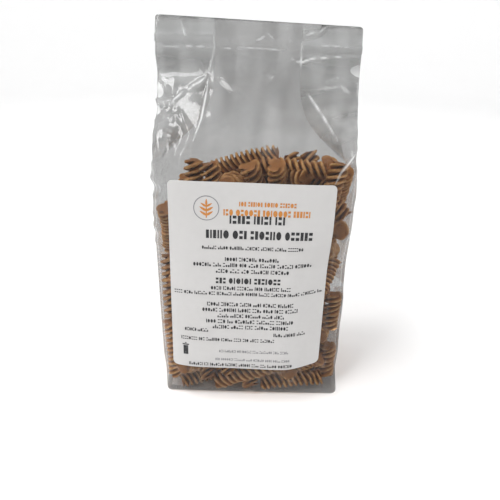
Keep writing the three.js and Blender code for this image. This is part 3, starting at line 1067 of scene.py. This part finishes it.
def film_looks(form, plain, heights, face, white_and_highlight):
    """What the film's shader reads at each place: near and far grey, milk and painted highlights, and the
    seal band.
    """
    x, y, z = np.moveaxis(plain, -1, 0)
    empty = smoothstep(z, *EMPTY_RISE)
    near = empty * (1 - SEALED_CLEAR * smoothstep(z, form.seal_low, form.seal_high))
    # Painted shade: the film's foot darkens what is seen through it, towards the bottom.
    foot = 1 - smoothstep(z, *FOOT_FALL)
    gusset = (face % 2 == 1) * empty
    # The folded-in sides are painted pale: partly milky film, partly a painted highlight that is stronger on
    # the left.
    gusset_milk_and_highlight = np.where(x < 0, *GUSSET_MILK_AND_HIGHLIGHT) * (1 + MILK_UNEVEN * ripples(y + z, z, *MILK_CLOUDS))
    streaks = clamp01(0.5 + ripples(x, STREAK_UP * z, *FRONT_STREAKS))
    white_and_highlight = np.maximum(white_and_highlight, gusset * gusset_milk_and_highlight)
    white_and_highlight = np.maximum(white_and_highlight, FRONT_MILK * (face == FRONT) * empty * streaks)
    edges = [(level - BAND_EDGE, level + BAND_EDGE) for level in (form.seal_low, form.seal_high)]
    seal = between(heights, edges) * np.ones_like(z)
    return {"near": near + FOOT_SHADE * foot, "far": 1 - gusset, "white_and_highlight": white_and_highlight, "seal": seal}


def add_film(form, label, pasta, rods, material):
    heights = film_heights(form)[:, None]
    face, share = film_columns()
    face, share = face[None], share[None]
    plain = plain_film(form, heights, face, share)
    normals = grid_normals(plain)
    relief = film_relief(label, plain, normals, face, share, rods, pasta)
    ridges, white_and_highlight = creased(plain, face)
    slack = ridges + crumples(plain, face) + soft_waves(plain, face)
    relief = relief + slack * (1 - (face == FRONT) * label_cover(label, plain[..., 0], plain[..., 2]))
    places = plain + normals * (relief * smoothstep(heights, 0, 2 * BASE_RADIUS))[..., None]
    places[..., 1] += panel_tilt(form, places)
    places[..., 2] = np.maximum(places[..., 2], 0)
    shape = grid_shape(places, **film_looks(form, plain, heights, face, white_and_highlight))
    bmesh.ops.remove_doubles(shape, verts=shape.verts[:], dist=1e-7)
    bmesh.ops.holes_fill(shape, edges=shape.edges[:], sides=0)
    caps = [face for face in shape.faces if len(face.verts) > 4]
    bmesh.ops.triangulate(shape, faces=caps, ngon_method="EAR_CLIP")
    bmesh.ops.recalc_face_normals(shape, faces=shape.faces[:])
    add_piece("film", shape, material, "bag", sharp=FILM_SHARP)


# ---- The label ----

LABEL_CELLS = {"across": 60, "up": 76}
INK_LIFT = 0.06 * MM
INK_THICKNESS = 0.04 * MM
INK_CELL = 1.3 * MM  # across
INK_CELL_UP = 3 * MM


def label_place(form, label, across, up, out):
    """Takes places on the flat label to the bag's front, at a distance out from the film."""
    x = label.x + across * np.cos(label.turn) + up * np.sin(label.turn)
    z = label.z - across * np.sin(label.turn) + up * np.cos(label.turn)
    y = form.front(x, z) - label_wave(x, z) - LABEL_CLEARANCE - out
    return np.stack([x, y, z], axis=-1)


def add_label(form, label, material):
    across = np.linspace(-0.5, 0.5, LABEL_CELLS["across"] + 1)[None] * label.width
    up = np.linspace(-0.5, 0.5, LABEL_CELLS["up"] + 1)[:, None] * label.height
    across, up = np.broadcast_arrays(across, up)
    across, up = round_off(across, up, label.width / 2, label.height / 2, LABEL_CORNER_RADIUS, 0)
    shape = grid_shape(label_place(form, label, across, up, label.thickness))
    bmesh.ops.recalc_face_normals(shape, faces=shape.faces[:])
    if sum(face.normal.y for face in shape.faces) > 0:
        bmesh.ops.reverse_faces(shape, faces=shape.faces[:])
    bmesh.ops.solidify(shape, geom=shape.faces[:], thickness=label.thickness)
    bmesh.ops.recalc_face_normals(shape, faces=shape.faces[:])
    add_piece("label_paper", shape, material, "label", sharp=SHARP)


class PrintRow(NamedTuple):
    """A row of print as plain shapes in place of words: its ends, its middle's height and its own height."""

    ink: str
    left: float
    right: float
    up: float
    height: float
    bold: bool = False


PRINT_ROWS = [
    PrintRow("orange", -6, 21.5, 42, 2.3, bold=True),
    PrintRow("orange", -13.5, 28.5, 37.6, 3.2, bold=True),
    PrintRow("black", -10.5, 16.5, 34, 4.2, bold=True),
    PrintRow("black", -22, 30.5, 26.2, 4.4, bold=True),
    PrintRow("black", -24, 26.5, 19.1, 1.9),
    PrintRow("black", -12.5, 14.5, 13, 2.1),
    PrintRow("black", -28.5, 31.5, 9.8, 2.1),
    PrintRow("black", -17, 20, 6.4, 2.1),
    PrintRow("black", -17, 16, 1, 3.2, bold=True),
    PrintRow("black", -19.5, 21.5, -3.2, 2.1),
    PrintRow("black", -38.5, 38.5, -6.4, 1.9),
    PrintRow("black", -21.5, 23.5, -12.6, 2.2),
    PrintRow("black", -24, 26, -16, 2.2),
    PrintRow("black", -16, 19, -19.4, 2.2),
    PrintRow("black", -22, 24, -22.8, 2.2),
    PrintRow("black", -18.5, 21.5, -26.2, 2.2),
    PrintRow("black", -33.5, -21, -28.6, 2.1),
    PrintRow("black", 14, 31, -30.4, 2.1),
    PrintRow("black", -35.5, 14.5, -34.2, 1.9),
    PrintRow("grey", -15, 22.5, -41.4, 1.6),
    PrintRow("grey", -17, 23.5, -46.6, 1.6),
    PrintRow("black", -31.5, 25, -50.2, 2.0),
]
PRINT_SEED = 23
MARK_GAP = 0.17  # between marks, as a share of the row's height
WORD_GAP = 0.36  # further, between groups of marks
WORD_MARKS = (3, 9)
MARK_SPREAD = (0.92, 1.1)
ROW_LEFT_OVER = 0.4  # a group starts only where more than this is left of the row
EMBLEM = {"across": -21.8 * MM, "up": 39.4 * MM, "radius": 6.3 * MM, "line": 0.45 * MM}
# The ear of grain. Its lengths are shares of the emblem's radius, but for the stem's width.
STEM = (-0.78, 0.3)
STEM_WIDTH = 0.6 * MM
LEAF_ROWS = ((0.84, 0.52), (0.52, 0.62), (0.2, 0.6))  # the share up the stem, and the leaves' length
LEAF_TURN = math.radians(58)
TOP_LEAF = (0.05, 0.5)  # how far it starts below the stem's top, and its length
LEAF_WIDTH = 0.30  # of its length
LEAF_TAPER = 0.45
BIN_SIGN = {"across": -33.2 * MM, "up": -41 * MM, "width": 3.6 * MM, "height": 7.4 * MM}
# Its body, lid and handle: half of each one's width, and its low and high edge, as shares of the whole.
BIN_PARTS = ((0.36, -0.5, 0.24), (0.5, 0.29, 0.38), (0.12, 0.43, 0.5))


def print_place(left, right, low, high):
    """Takes a shape of size 1 round the origin to a place on the flat label."""
    middle = Matrix.Translation(((left + right) / 2, (low + high) / 2, 0))
    return middle @ Matrix.Diagonal((right - left, high - low, 1, 1))


def add_block(shape, left, right, low, high):
    """A flat inked block on the label, in cells small enough to follow its curve."""
    across = max(1, math.ceil((right - left) / INK_CELL))
    up = max(1, math.ceil((high - low) / INK_CELL_UP))
    block = bmesh.ops.create_grid(shape, x_segments=across, y_segments=up, size=0.5)["verts"]
    bmesh.ops.transform(shape, matrix=print_place(left, right, low, high), verts=block)


def add_round(shape, left, right, low, high):
    """A flat inked oval that fills the same space as a block would."""
    disc = bmesh.ops.create_circle(shape, segments=18, radius=0.5, cap_ends=True)["verts"]
    bmesh.ops.transform(shape, matrix=print_place(left, right, low, high), verts=disc)


# The marks that stand for print: their widths, and the strips up them that are inked, all in shares of the
# row's height.
TITLE_MARKS = {
    "block": (0.4, [(0, 1)]),
    "round": (0.7, [(0, 1)]),
    "bar": (0.24, [(0, 1)]),
    "pair": (0.46, [(0, 0.36), (0.64, 1)]),
}
SMALL_MARKS = {
    "tick": (0.22, [(0, 1)]),
    "round": (0.54, [(0, 0.95)]),
    "pair": (0.42, [(0, 0.24), (0.76, 1)]),
    "low": (0.36, [(0, 0.5)]),
}


def print_marks(row, draw):
    """Groups of marks in a row that stand for words, as (kind, left, right, strips)."""
    marks = TITLE_MARKS if row.bold else SMALL_MARKS
    kinds = list(marks)
    shapes, at = [], 0.0
    wanted = (row.right - row.left) / row.height
    while at < wanted - ROW_LEFT_OVER:
        for _ in range(draw.integers(*WORD_MARKS)):
            kind = kinds[draw.integers(len(kinds))]
            width, strips = marks[kind]
            width *= draw.uniform(*MARK_SPREAD)
            shapes.append((kind, at, at + width, strips))
            at += width + MARK_GAP
        at += WORD_GAP
    return shapes


def add_print_row(shape, row, draw):
    """A row of print, stretched to reach from its left end to its right end."""
    parts = print_marks(row, draw)
    stretch = (row.right - row.left) / parts[-1][2]
    foot = row.up - row.height / 2
    for kind, left, right, strips in parts:
        start, end = (row.left + stretch * side for side in (left, right))
        add = add_round if kind == "round" else add_block
        for low, high in strips:
            add(shape, start * MM, end * MM, (foot + low * row.height) * MM, (foot + high * row.height) * MM)


def add_leaf(shape, across, up, turn, length):
    leaf = bmesh.ops.create_circle(shape, segments=20, radius=1, cap_ends=True)["verts"]
    for vert in leaf:
        taper = LEAF_WIDTH * (1 - LEAF_TAPER * vert.co.y)
        vert.co = (vert.co.x * taper * length / 2, (vert.co.y + 1) * length / 2, 0)
    place = Matrix.Translation((across, up, 0)) @ Matrix.Rotation(turn, 4, "Z")
    bmesh.ops.transform(shape, matrix=place, verts=leaf)


def add_ring(shape, across, up, radius, line):
    rims = [
        bmesh.ops.create_circle(shape, segments=64, radius=radius - share * line)["verts"] for share in (0, 1)
    ]
    place = Matrix.Translation((across, up, 0))
    verts = rims[0] + rims[1]
    bmesh.ops.transform(shape, matrix=place, verts=verts)
    edges = {edge for vert in verts for edge in vert.link_edges}
    bmesh.ops.bridge_loops(shape, edges=list(edges))


def add_emblem(shape):
    """A full ear of grain on its stem."""
    across, up, radius = EMBLEM["across"], EMBLEM["up"], EMBLEM["radius"]
    stem_low, stem_high = (up + share * radius for share in STEM)
    add_block(shape, across - STEM_WIDTH / 2, across + STEM_WIDTH / 2, stem_low, stem_high)
    below, length = TOP_LEAF
    add_leaf(shape, across, stem_high - below * radius, 0, length * radius)
    for level, size in LEAF_ROWS:
        foot = lerp(stem_low, stem_high, level)
        for side in (-1, 1):
            add_leaf(shape, across, foot, side * LEAF_TURN, size * radius)


def add_bin_sign(shape):
    """A small bin with a lid."""
    across, up, width, height = (BIN_SIGN[key] for key in ("across", "up", "width", "height"))
    for half, low, high in BIN_PARTS:
        add_block(shape, across - half * width, across + half * width, up + low * height, up + high * height)


def add_print(form, label, inks):
    """All print of one ink is one thin piece just over the paper."""
    draw = np.random.default_rng(PRINT_SEED)
    shapes = {ink: bmesh.new() for ink in inks}
    for row in PRINT_ROWS:
        add_print_row(shapes[row.ink], row, draw)
    add_emblem(shapes["orange"])
    add_ring(shapes["grey"], EMBLEM["across"], EMBLEM["up"], EMBLEM["radius"], EMBLEM["line"])
    add_bin_sign(shapes["black"])
    for ink, shape in shapes.items():
        for vert in shape.verts:
            across, up = np.array(vert.co.x), np.array(vert.co.y)
            vert.co = label_place(form, label, across, up, label.thickness + INK_LIFT)
        for face in shape.faces:
            if face.normal.y > 0:
                face.normal_flip()
        bmesh.ops.recalc_face_normals(shape, faces=shape.faces[:])
        bmesh.ops.solidify(shape, geom=shape.faces[:], thickness=INK_THICKNESS)
        bmesh.ops.recalc_face_normals(shape, faces=shape.faces[:])
        add_piece(f"print_{ink}", shape, inks[ink], "label", sharp=SHARP)


# ---- Materials ----


class NodeWork:
    """Adds the nodes of a material or a group and joins their sockets."""

    def __init__(self, tree):
        self.tree = tree
        tree.nodes.clear()

    def add(self, kind, options=None, **inputs):
        node = self.tree.nodes.new(kind)
        for name, value in (options or {}).items():
            setattr(node, name, value)
        for name, value in inputs.items():
            self.put(value, node.inputs[name.replace("_", " ")])
        return node

    def put(self, value, socket):
        if isinstance(value, bpy.types.NodeSocket):
            self.tree.links.new(value, socket)
        else:
            socket.default_value = value

    def math(self, operation, first, second=0.0, third=0.0):
        node = self.tree.nodes.new("ShaderNodeMath")
        node.operation = operation
        for value, socket in zip((first, second, third), node.inputs):
            self.put(value, socket)
        return node.outputs[0]

    def mix(self, share, first, second):
        node = self.add("ShaderNodeMix", {"data_type": "RGBA"})
        colours = [socket for socket in node.inputs if socket.type == "RGBA"]
        self.put(share, node.inputs[0])
        for value, socket in zip((first, second), colours):
            self.put(value, socket)
        return next(socket for socket in node.outputs if socket.type == "RGBA")

    def ramp(self, value, low, high):
        node = self.tree.nodes.new("ShaderNodeMapRange")
        self.put(value, node.inputs["Value"])
        node.inputs["From Min"].default_value = low
        node.inputs["From Max"].default_value = high
        return node.outputs["Result"]

    def attribute(self, name):
        return self.add("ShaderNodeAttribute", {"attribute_name": name}).outputs["Fac"]

    def scaled(self, color, factor):
        """A colour made lighter or darker."""
        return self.add("ShaderNodeVectorMath", {"operation": "SCALE"}, Vector=color, Scale=factor).outputs[0]

    def mix_shader(self, share, first, second):
        node = self.add("ShaderNodeMixShader", Fac=share)
        self.put(first, node.inputs[1])
        self.put(second, node.inputs[2])
        return node.outputs[0]

    def finish(self, shader):
        output = self.add("ShaderNodeOutputMaterial")
        self.tree.links.new(shader, output.inputs["Surface"])

    def finish_principled(self, **inputs):
        self.finish(self.add("ShaderNodeBsdfPrincipled", **inputs).outputs[0])


def opaque(color):
    return (*color[:3], 1.0)


def new_material(name):
    material = bpy.data.materials.new(name)
    material.use_nodes = True
    return material, NodeWork(material.node_tree)


@functools.cache
def grain_group():
    """Uneven grain of a given size: a value for colour, and a height for bump."""
    tree = bpy.data.node_groups.new("grain", "ShaderNodeTree")
    for name, default in (("Size", 1.0), ("Fineness", 4.0)):
        tree.interface.new_socket(name, in_out="INPUT", socket_type="NodeSocketFloat").default_value = default
    for name in ("Value", "Height"):
        tree.interface.new_socket(name, in_out="OUTPUT", socket_type="NodeSocketFloat")
    work = NodeWork(tree)
    given = work.add("NodeGroupInput")
    place = work.add("ShaderNodeTexCoord").outputs["Object"]
    scale = work.math("DIVIDE", 1.0, given.outputs["Size"])
    broad = work.add("ShaderNodeTexNoise", Vector=place, Scale=scale, Detail=3.0, Roughness=0.55)
    fine_scale = work.math("MULTIPLY", scale, given.outputs["Fineness"])
    fine = work.add("ShaderNodeTexNoise", Vector=place, Scale=fine_scale, Detail=2.0, Roughness=0.6)
    height = work.math("MULTIPLY_ADD", fine.outputs["Fac"], 0.5, broad.outputs["Fac"])
    result = work.add("NodeGroupOutput")
    tree.links.new(broad.outputs["Fac"], result.inputs["Value"])
    tree.links.new(height, result.inputs["Height"])
    return tree


def grain(work, size, fineness):
    node = work.add("ShaderNodeGroup", {"node_tree": grain_group()}, Size=size, Fineness=fineness)
    return node.outputs["Value"], node.outputs["Height"]


def bump(work, height, distance, strength=1.0):
    return work.add("ShaderNodeBump", Height=height, Distance=distance, Strength=strength).outputs["Normal"]


GROOVE_SHADE_TOP = 0.75  # the share of a fin's height where the painted groove shade has faded
EDGE_FOOT = 0.72  # and where its pale edge starts, partly wear and partly a painted highlight
OUTER_GREY = 0.16  # how much of the grey the near film of the empty top has
LIT_THROUGH = (0.97, 0.97, 0.97, 1)  # what the film lets through of the light that falls on things
# The pale diffuse colour of milky film. It also carries the painted highlights along the creases and on the
# folded-in sides.
MILK_AND_HIGHLIGHT_COLOR = (0.92, 0.93, 0.93, 1)
CLEAR_GLOSS = 0.023  # the share of light that clear film mirrors, seen straight on


def pasta_material(pasta):
    """Dry lentil dough: pale fin edges that are partly wear and partly a painted highlight, darker sides,
    grooves darkened with painted shade, and fine grain.
    """
    material, work = new_material("pasta")
    rim, tone = work.attribute("rim"), work.attribute("tone")
    mottle, height = grain(work, 2.2 * MM, 6.0)
    # Painted shade: the fins darken into the grooves.
    depth = work.ramp(rim, 0.0, GROOVE_SHADE_TOP)
    side = work.mix(depth, opaque(pasta.groove_and_heap_shade_color), opaque(pasta.flesh_color))
    # The pale edges: partly mottled wear, partly a painted highlight.
    wear_and_highlight = work.math("MULTIPLY", work.ramp(rim, EDGE_FOOT, 1.0), work.ramp(mottle, 0.25, 0.6))
    color = work.mix(wear_and_highlight, side, opaque(pasta.rim_color))
    shade = work.math("MULTIPLY_ADD", tone, 0.14, work.math("MULTIPLY_ADD", mottle, 0.5, 0.78))
    work.finish_principled(
        Base_Color=work.scaled(color, shade),
        Roughness=work.math("MULTIPLY_ADD", mottle, 0.3, 0.38),
        Normal=bump(work, height, 0.12 * MM, 0.6),
        Subsurface_Weight=0.2,
        Subsurface_Scale=0.7 * MM,
        Subsurface_Radius=(1.0, 0.45, 0.15),
    )
    return material


def heap_shade_material(pasta):
    """The dim inside of the heap, painted dark as shade."""
    material, work = new_material("heap_inside_shade")
    mottle, height = grain(work, 5 * MM, 3.0)
    dark = tuple(0.35 * part for part in pasta.groove_and_heap_shade_color)
    color = work.mix(work.ramp(mottle, 0.3, 0.7), opaque(dark), opaque(pasta.groove_and_heap_shade_color))
    work.finish_principled(Base_Color=color, Roughness=0.8, Normal=bump(work, height, 1.5 * MM))
    return material


def film_material(bag):
    """Thin clear film that lets light in almost undimmed, so the spirals stay bright.

    It dims what is seen out through its far side, so that it is clear over pasta and grey where empty.
    """
    material, work = new_material("clear_film")
    near, far, white_and_highlight, seal = (work.attribute(name) for name in ("near", "far", "white_and_highlight", "seal"))
    mottle, height = grain(work, 9 * MM, 3.0)
    place = work.add("ShaderNodeTexCoord").outputs["Object"]
    dots = work.add("ShaderNodeTexVoronoi", Vector=place, Scale=1 / (1.3 * MM)).outputs["Distance"]
    pressed = work.math("MULTIPLY", seal, work.math("MULTIPLY", dots, 0.9))
    relief = work.math("MULTIPLY_ADD", height, 0.3, pressed)
    normal = bump(work, relief, 0.35 * MM, 0.5)
    uneven = work.math("MULTIPLY_ADD", mottle, 0.3, 0.85)
    inner_side = work.add("ShaderNodeNewGeometry").outputs["Backfacing"]
    inner_grey = work.math("MULTIPLY", inner_side, far)
    outer_grey = work.math("MULTIPLY", near, OUTER_GREY)
    grey = work.math("MULTIPLY", uneven, work.math("MAXIMUM", inner_grey, outer_grey))
    seen = work.mix(grey, opaque(bag.clear_color), opaque(bag.grey_color))
    path = work.add("ShaderNodeLightPath")
    lit = work.math("MAXIMUM", path.outputs["Is Shadow Ray"], path.outputs["Is Diffuse Ray"])
    clear = work.add("ShaderNodeBsdfTransparent", Color=work.mix(lit, seen, LIT_THROUGH)).outputs[0]
    gloss = work.add(
        "ShaderNodeBsdfAnisotropic",
        Color=(1, 1, 1, 1),
        Roughness=work.math("MULTIPLY_ADD", seal, 0.2, 0.07),
        Normal=normal,
    ).outputs[0]
    facing = work.add("ShaderNodeLayerWeight", Blend=0.5, Normal=normal).outputs["Facing"]
    mirror = work.math("MULTIPLY_ADD", work.math("POWER", facing, 5.0), 0.9, CLEAR_GLOSS)
    glazed = work.mix_shader(mirror, clear, gloss)
    # Milk and painted highlights: a pale diffuse layer where the film is milky and along the painted
    # highlight lines.
    milk_and_highlight_shader = work.add("ShaderNodeBsdfDiffuse", Color=MILK_AND_HIGHLIGHT_COLOR, Normal=normal).outputs[0]
    least = work.math("MULTIPLY_ADD", seal, 0.05, work.math("MULTIPLY", mottle, 0.015))
    haze_and_highlight = work.math("MAXIMUM", white_and_highlight, least)
    work.finish(work.mix_shader(haze_and_highlight, glazed, milk_and_highlight_shader))
    return material


def paper_material(label):
    material, work = new_material("label_paper")
    mottle, height = grain(work, 3 * MM, 8.0)
    shade = work.math("MULTIPLY_ADD", mottle, 0.06, 0.97)
    color = work.scaled(tuple(label.paper_color), shade)
    work.finish_principled(Base_Color=color, Roughness=0.42, Normal=bump(work, height, 0.02 * MM, 0.5))
    return material


def ink_material(name, ink_color, paper_color):
    """Ink with tiny misses, where the paper shows through."""
    material, work = new_material(name)
    mottle, height = grain(work, 0.9 * MM, 5.0)
    missed = work.math("MULTIPLY", work.ramp(mottle, 0.62, 0.8), 0.5)
    color = work.mix(missed, opaque(ink_color), opaque(paper_color))
    work.finish_principled(Base_Color=color, Roughness=0.5, Normal=bump(work, height, 0.01 * MM, 0.5))
    return material


def floor_material(studio):
    material, work = new_material("studio_floor")
    mottle, _ = grain(work, 60 * MM, 3.0)
    shade = work.math("MULTIPLY_ADD", mottle, 0.01, 0.995)
    work.finish_principled(Base_Color=work.scaled(tuple(studio.floor_color), shade), Roughness=0.9)
    return material


# ---- The studio ----

FLOOR_RADIUS = 1.3
SWEEP_RADIUS = 0.6
WALL_HEIGHT = 1.8
SWEEP_STEPS = 12
FLOOR_STEPS = 96
CAMERA_PLACE = (-0.00003, -0.26172, 0.1967)
CAMERA_DOWN = math.radians(24.39)
CAMERA_YAW = math.radians(-0.55)
CAMERA_ROLL = math.radians(1.03)
SENSOR = 36.0  # mm, as the lens, so that the view is as wide as it is far


def add_floor(studio):
    """A round floor that sweeps up into a wall on every side."""
    shape = bmesh.new()
    profile = [(0.0, 0.0), (FLOOR_RADIUS, 0.0)]
    for k in range(1, SWEEP_STEPS + 1):
        turn = math.pi / 2 * k / SWEEP_STEPS
        profile.append((FLOOR_RADIUS + SWEEP_RADIUS * math.sin(turn), SWEEP_RADIUS * (1 - math.cos(turn))))
    profile.append((FLOOR_RADIUS + SWEEP_RADIUS, WALL_HEIGHT))
    verts = [shape.verts.new((out, 0, up)) for out, up in profile]
    edges = [shape.edges.new(pair) for pair in zip(verts, verts[1:])]
    bmesh.ops.spin(
        shape, geom=verts + edges, cent=(0, 0, 0), axis=(0, 0, 1), dvec=(0, 0, 0),
        angle=2 * math.pi, steps=FLOOR_STEPS, use_merge=True, use_normal_flip=False, use_duplicate=False,
    )
    bmesh.ops.remove_doubles(shape, verts=shape.verts[:], dist=0.1 * MM)
    bmesh.ops.recalc_face_normals(shape, faces=shape.faces[:])
    if min(shape.faces, key=lambda face: face.calc_center_median().length).normal.z < 0:
        bmesh.ops.reverse_faces(shape, faces=shape.faces[:])
    add_object("studio_floor", shape, floor_material(studio))


class Lamp(NamedTuple):
    """A rectangular light: its place, what it points at, its sides, and its share of a setting's watts."""

    place: tuple
    target: tuple
    size: tuple
    setting: str
    share: float = 1.0


PACK_MIDDLE = (0, 0, 0.1)
LAMPS = {
    "key_light": Lamp((-0.55, -0.5, 0.9), PACK_MIDDLE, (0.42, 0.42), "key_light"),
    "right_high": Lamp((0.5, -0.4, 0.85), PACK_MIDDLE, (0.2, 0.3), "key_light", 0.25),
    "left_high": Lamp((-0.43, -0.1, 1.06), (-0.035, 0, 0.155), (0.25, 0.25), "key_light", 0.5),
    "left_strip": Lamp((-0.5, -0.06, 0.22), PACK_MIDDLE, (0.02, 0.4), "strip_light"),
    "right_strip": Lamp((0.5, -0.16, 0.34), PACK_MIDDLE, (0.02, 0.4), "strip_light"),
    "backdrop_light": Lamp((0, 0.35, 1.3), (0, 1.9, 0.5), (2.4, 0.5), "backdrop_light"),
}


def add_lights(studio):
    world = bpy.data.worlds.new("studio_light")
    bpy.context.scene.world = world
    world.use_nodes = True
    background = world.node_tree.nodes["Background"]
    background.inputs["Color"].default_value = (1, 1, 1, 1)
    background.inputs["Strength"].default_value = studio.room_light
    for name, lamp in LAMPS.items():
        data = bpy.data.lights.new(name, "AREA")
        data.shape = "RECTANGLE"
        data.size, data.size_y = lamp.size
        data.energy = lamp.share * getattr(studio, lamp.setting)
        light = bpy.data.objects.new(name, data)
        light.location = lamp.place
        way = Vector(lamp.target) - Vector(lamp.place)
        light.rotation_euler = way.to_track_quat("-Z", "Y").to_euler()
        bpy.context.scene.collection.objects.link(light)


def add_camera():
    down, yaw = CAMERA_DOWN, CAMERA_YAW
    ahead = Vector((math.sin(yaw) * math.cos(down), math.cos(yaw) * math.cos(down), -math.sin(down)))
    level = Vector((math.cos(yaw), -math.sin(yaw), 0))
    upright = level.cross(ahead)
    right = level * math.cos(CAMERA_ROLL) + upright * math.sin(CAMERA_ROLL)
    up = upright * math.cos(CAMERA_ROLL) - level * math.sin(CAMERA_ROLL)
    lens = bpy.data.cameras.new("camera")
    lens.sensor_width = SENSOR
    lens.lens = SENSOR
    lens.clip_start = 5 * MM
    camera = bpy.data.objects.new("camera", lens)
    turned = Matrix((right, up, -ahead)).transposed().to_4x4()
    camera.matrix_world = Matrix.Translation(CAMERA_PLACE) @ turned
    bpy.context.scene.collection.objects.link(camera)
    bpy.context.scene.camera = camera


# ---- Operators ----


class PASTAPACK_OT_spirals(bpy.types.Operator):
    """Settles the spirals in the bag and makes them, with the inside of their heap painted dark as shade"""

    bl_idname = "pasta_pack.spirals"
    bl_label = "Make spirals"

    def execute(self, context):
        pasta = settings().pasta
        form = bag_form()
        add_spirals(form, pasta, bag_rods(), pasta_material(pasta))
        add_heap_core(form, heap_shade_material(pasta))
        return {"FINISHED"}


class PASTAPACK_OT_film(bpy.types.Operator):
    """Drapes the clear film over the spirals, with its folds, its seal and its loose flap"""

    bl_idname = "pasta_pack.film"
    bl_label = "Make film"

    def execute(self, context):
        pack = settings()
        add_film(bag_form(), pack.label, pack.pasta, bag_rods(), film_material(pack.bag))
        return {"FINISHED"}


class PASTAPACK_OT_label(bpy.types.Operator):
    """Makes the paper label on the front and its plain print"""

    bl_idname = "pasta_pack.label"
    bl_label = "Make label"

    def execute(self, context):
        label = settings().label
        form = bag_form()
        add_label(form, label, paper_material(label))
        colors = {"black": label.black_color, "grey": label.grey_color, "orange": label.orange_color}
        paper = label.paper_color
        inks = {name: ink_material(f"{name}_ink", color, paper) for name, color in colors.items()}
        add_print(form, label, inks)
        return {"FINISHED"}


class PASTAPACK_OT_studio(bpy.types.Operator):
    """Makes the pale floor, the soft lights and the camera"""

    bl_idname = "pasta_pack.studio"
    bl_label = "Make studio"

    def execute(self, context):
        studio = settings().studio
        add_floor(studio)
        add_lights(studio)
        add_camera()
        bpy.context.scene.view_settings.view_transform = "Standard"
        return {"FINISHED"}


class PASTAPACK_PT_panel(bpy.types.Panel):
    """Lists the steps that make the pack and its studio"""

    bl_idname = "PASTAPACK_PT_panel"
    bl_label = "Pasta Pack"
    bl_space_type = "VIEW_3D"
    bl_region_type = "UI"
    bl_category = "Pasta Pack"

    def draw(self, context):
        for operator in OPERATORS:
            self.layout.operator(operator.bl_idname)


OPERATORS = (PASTAPACK_OT_spirals, PASTAPACK_OT_film, PASTAPACK_OT_label, PASTAPACK_OT_studio)
GROUPS = (BagSettings, PastaSettings, LabelSettings, StudioSettings, PackSettings)


def register():
    for kind in GROUPS + OPERATORS + (PASTAPACK_PT_panel,):
        bpy.utils.register_class(kind)
    bpy.types.Scene.pasta_pack = PointerProperty(type=PackSettings)


def unregister():
    del bpy.types.Scene.pasta_pack
    for kind in reversed(GROUPS + OPERATORS + (PASTAPACK_PT_panel,)):
        bpy.utils.unregister_class(kind)


def main():
    register()
    bpy.ops.pasta_pack.spirals()
    bpy.ops.pasta_pack.film()
    bpy.ops.pasta_pack.label()
    bpy.ops.pasta_pack.studio()


if __name__ == "__main__":
    main()
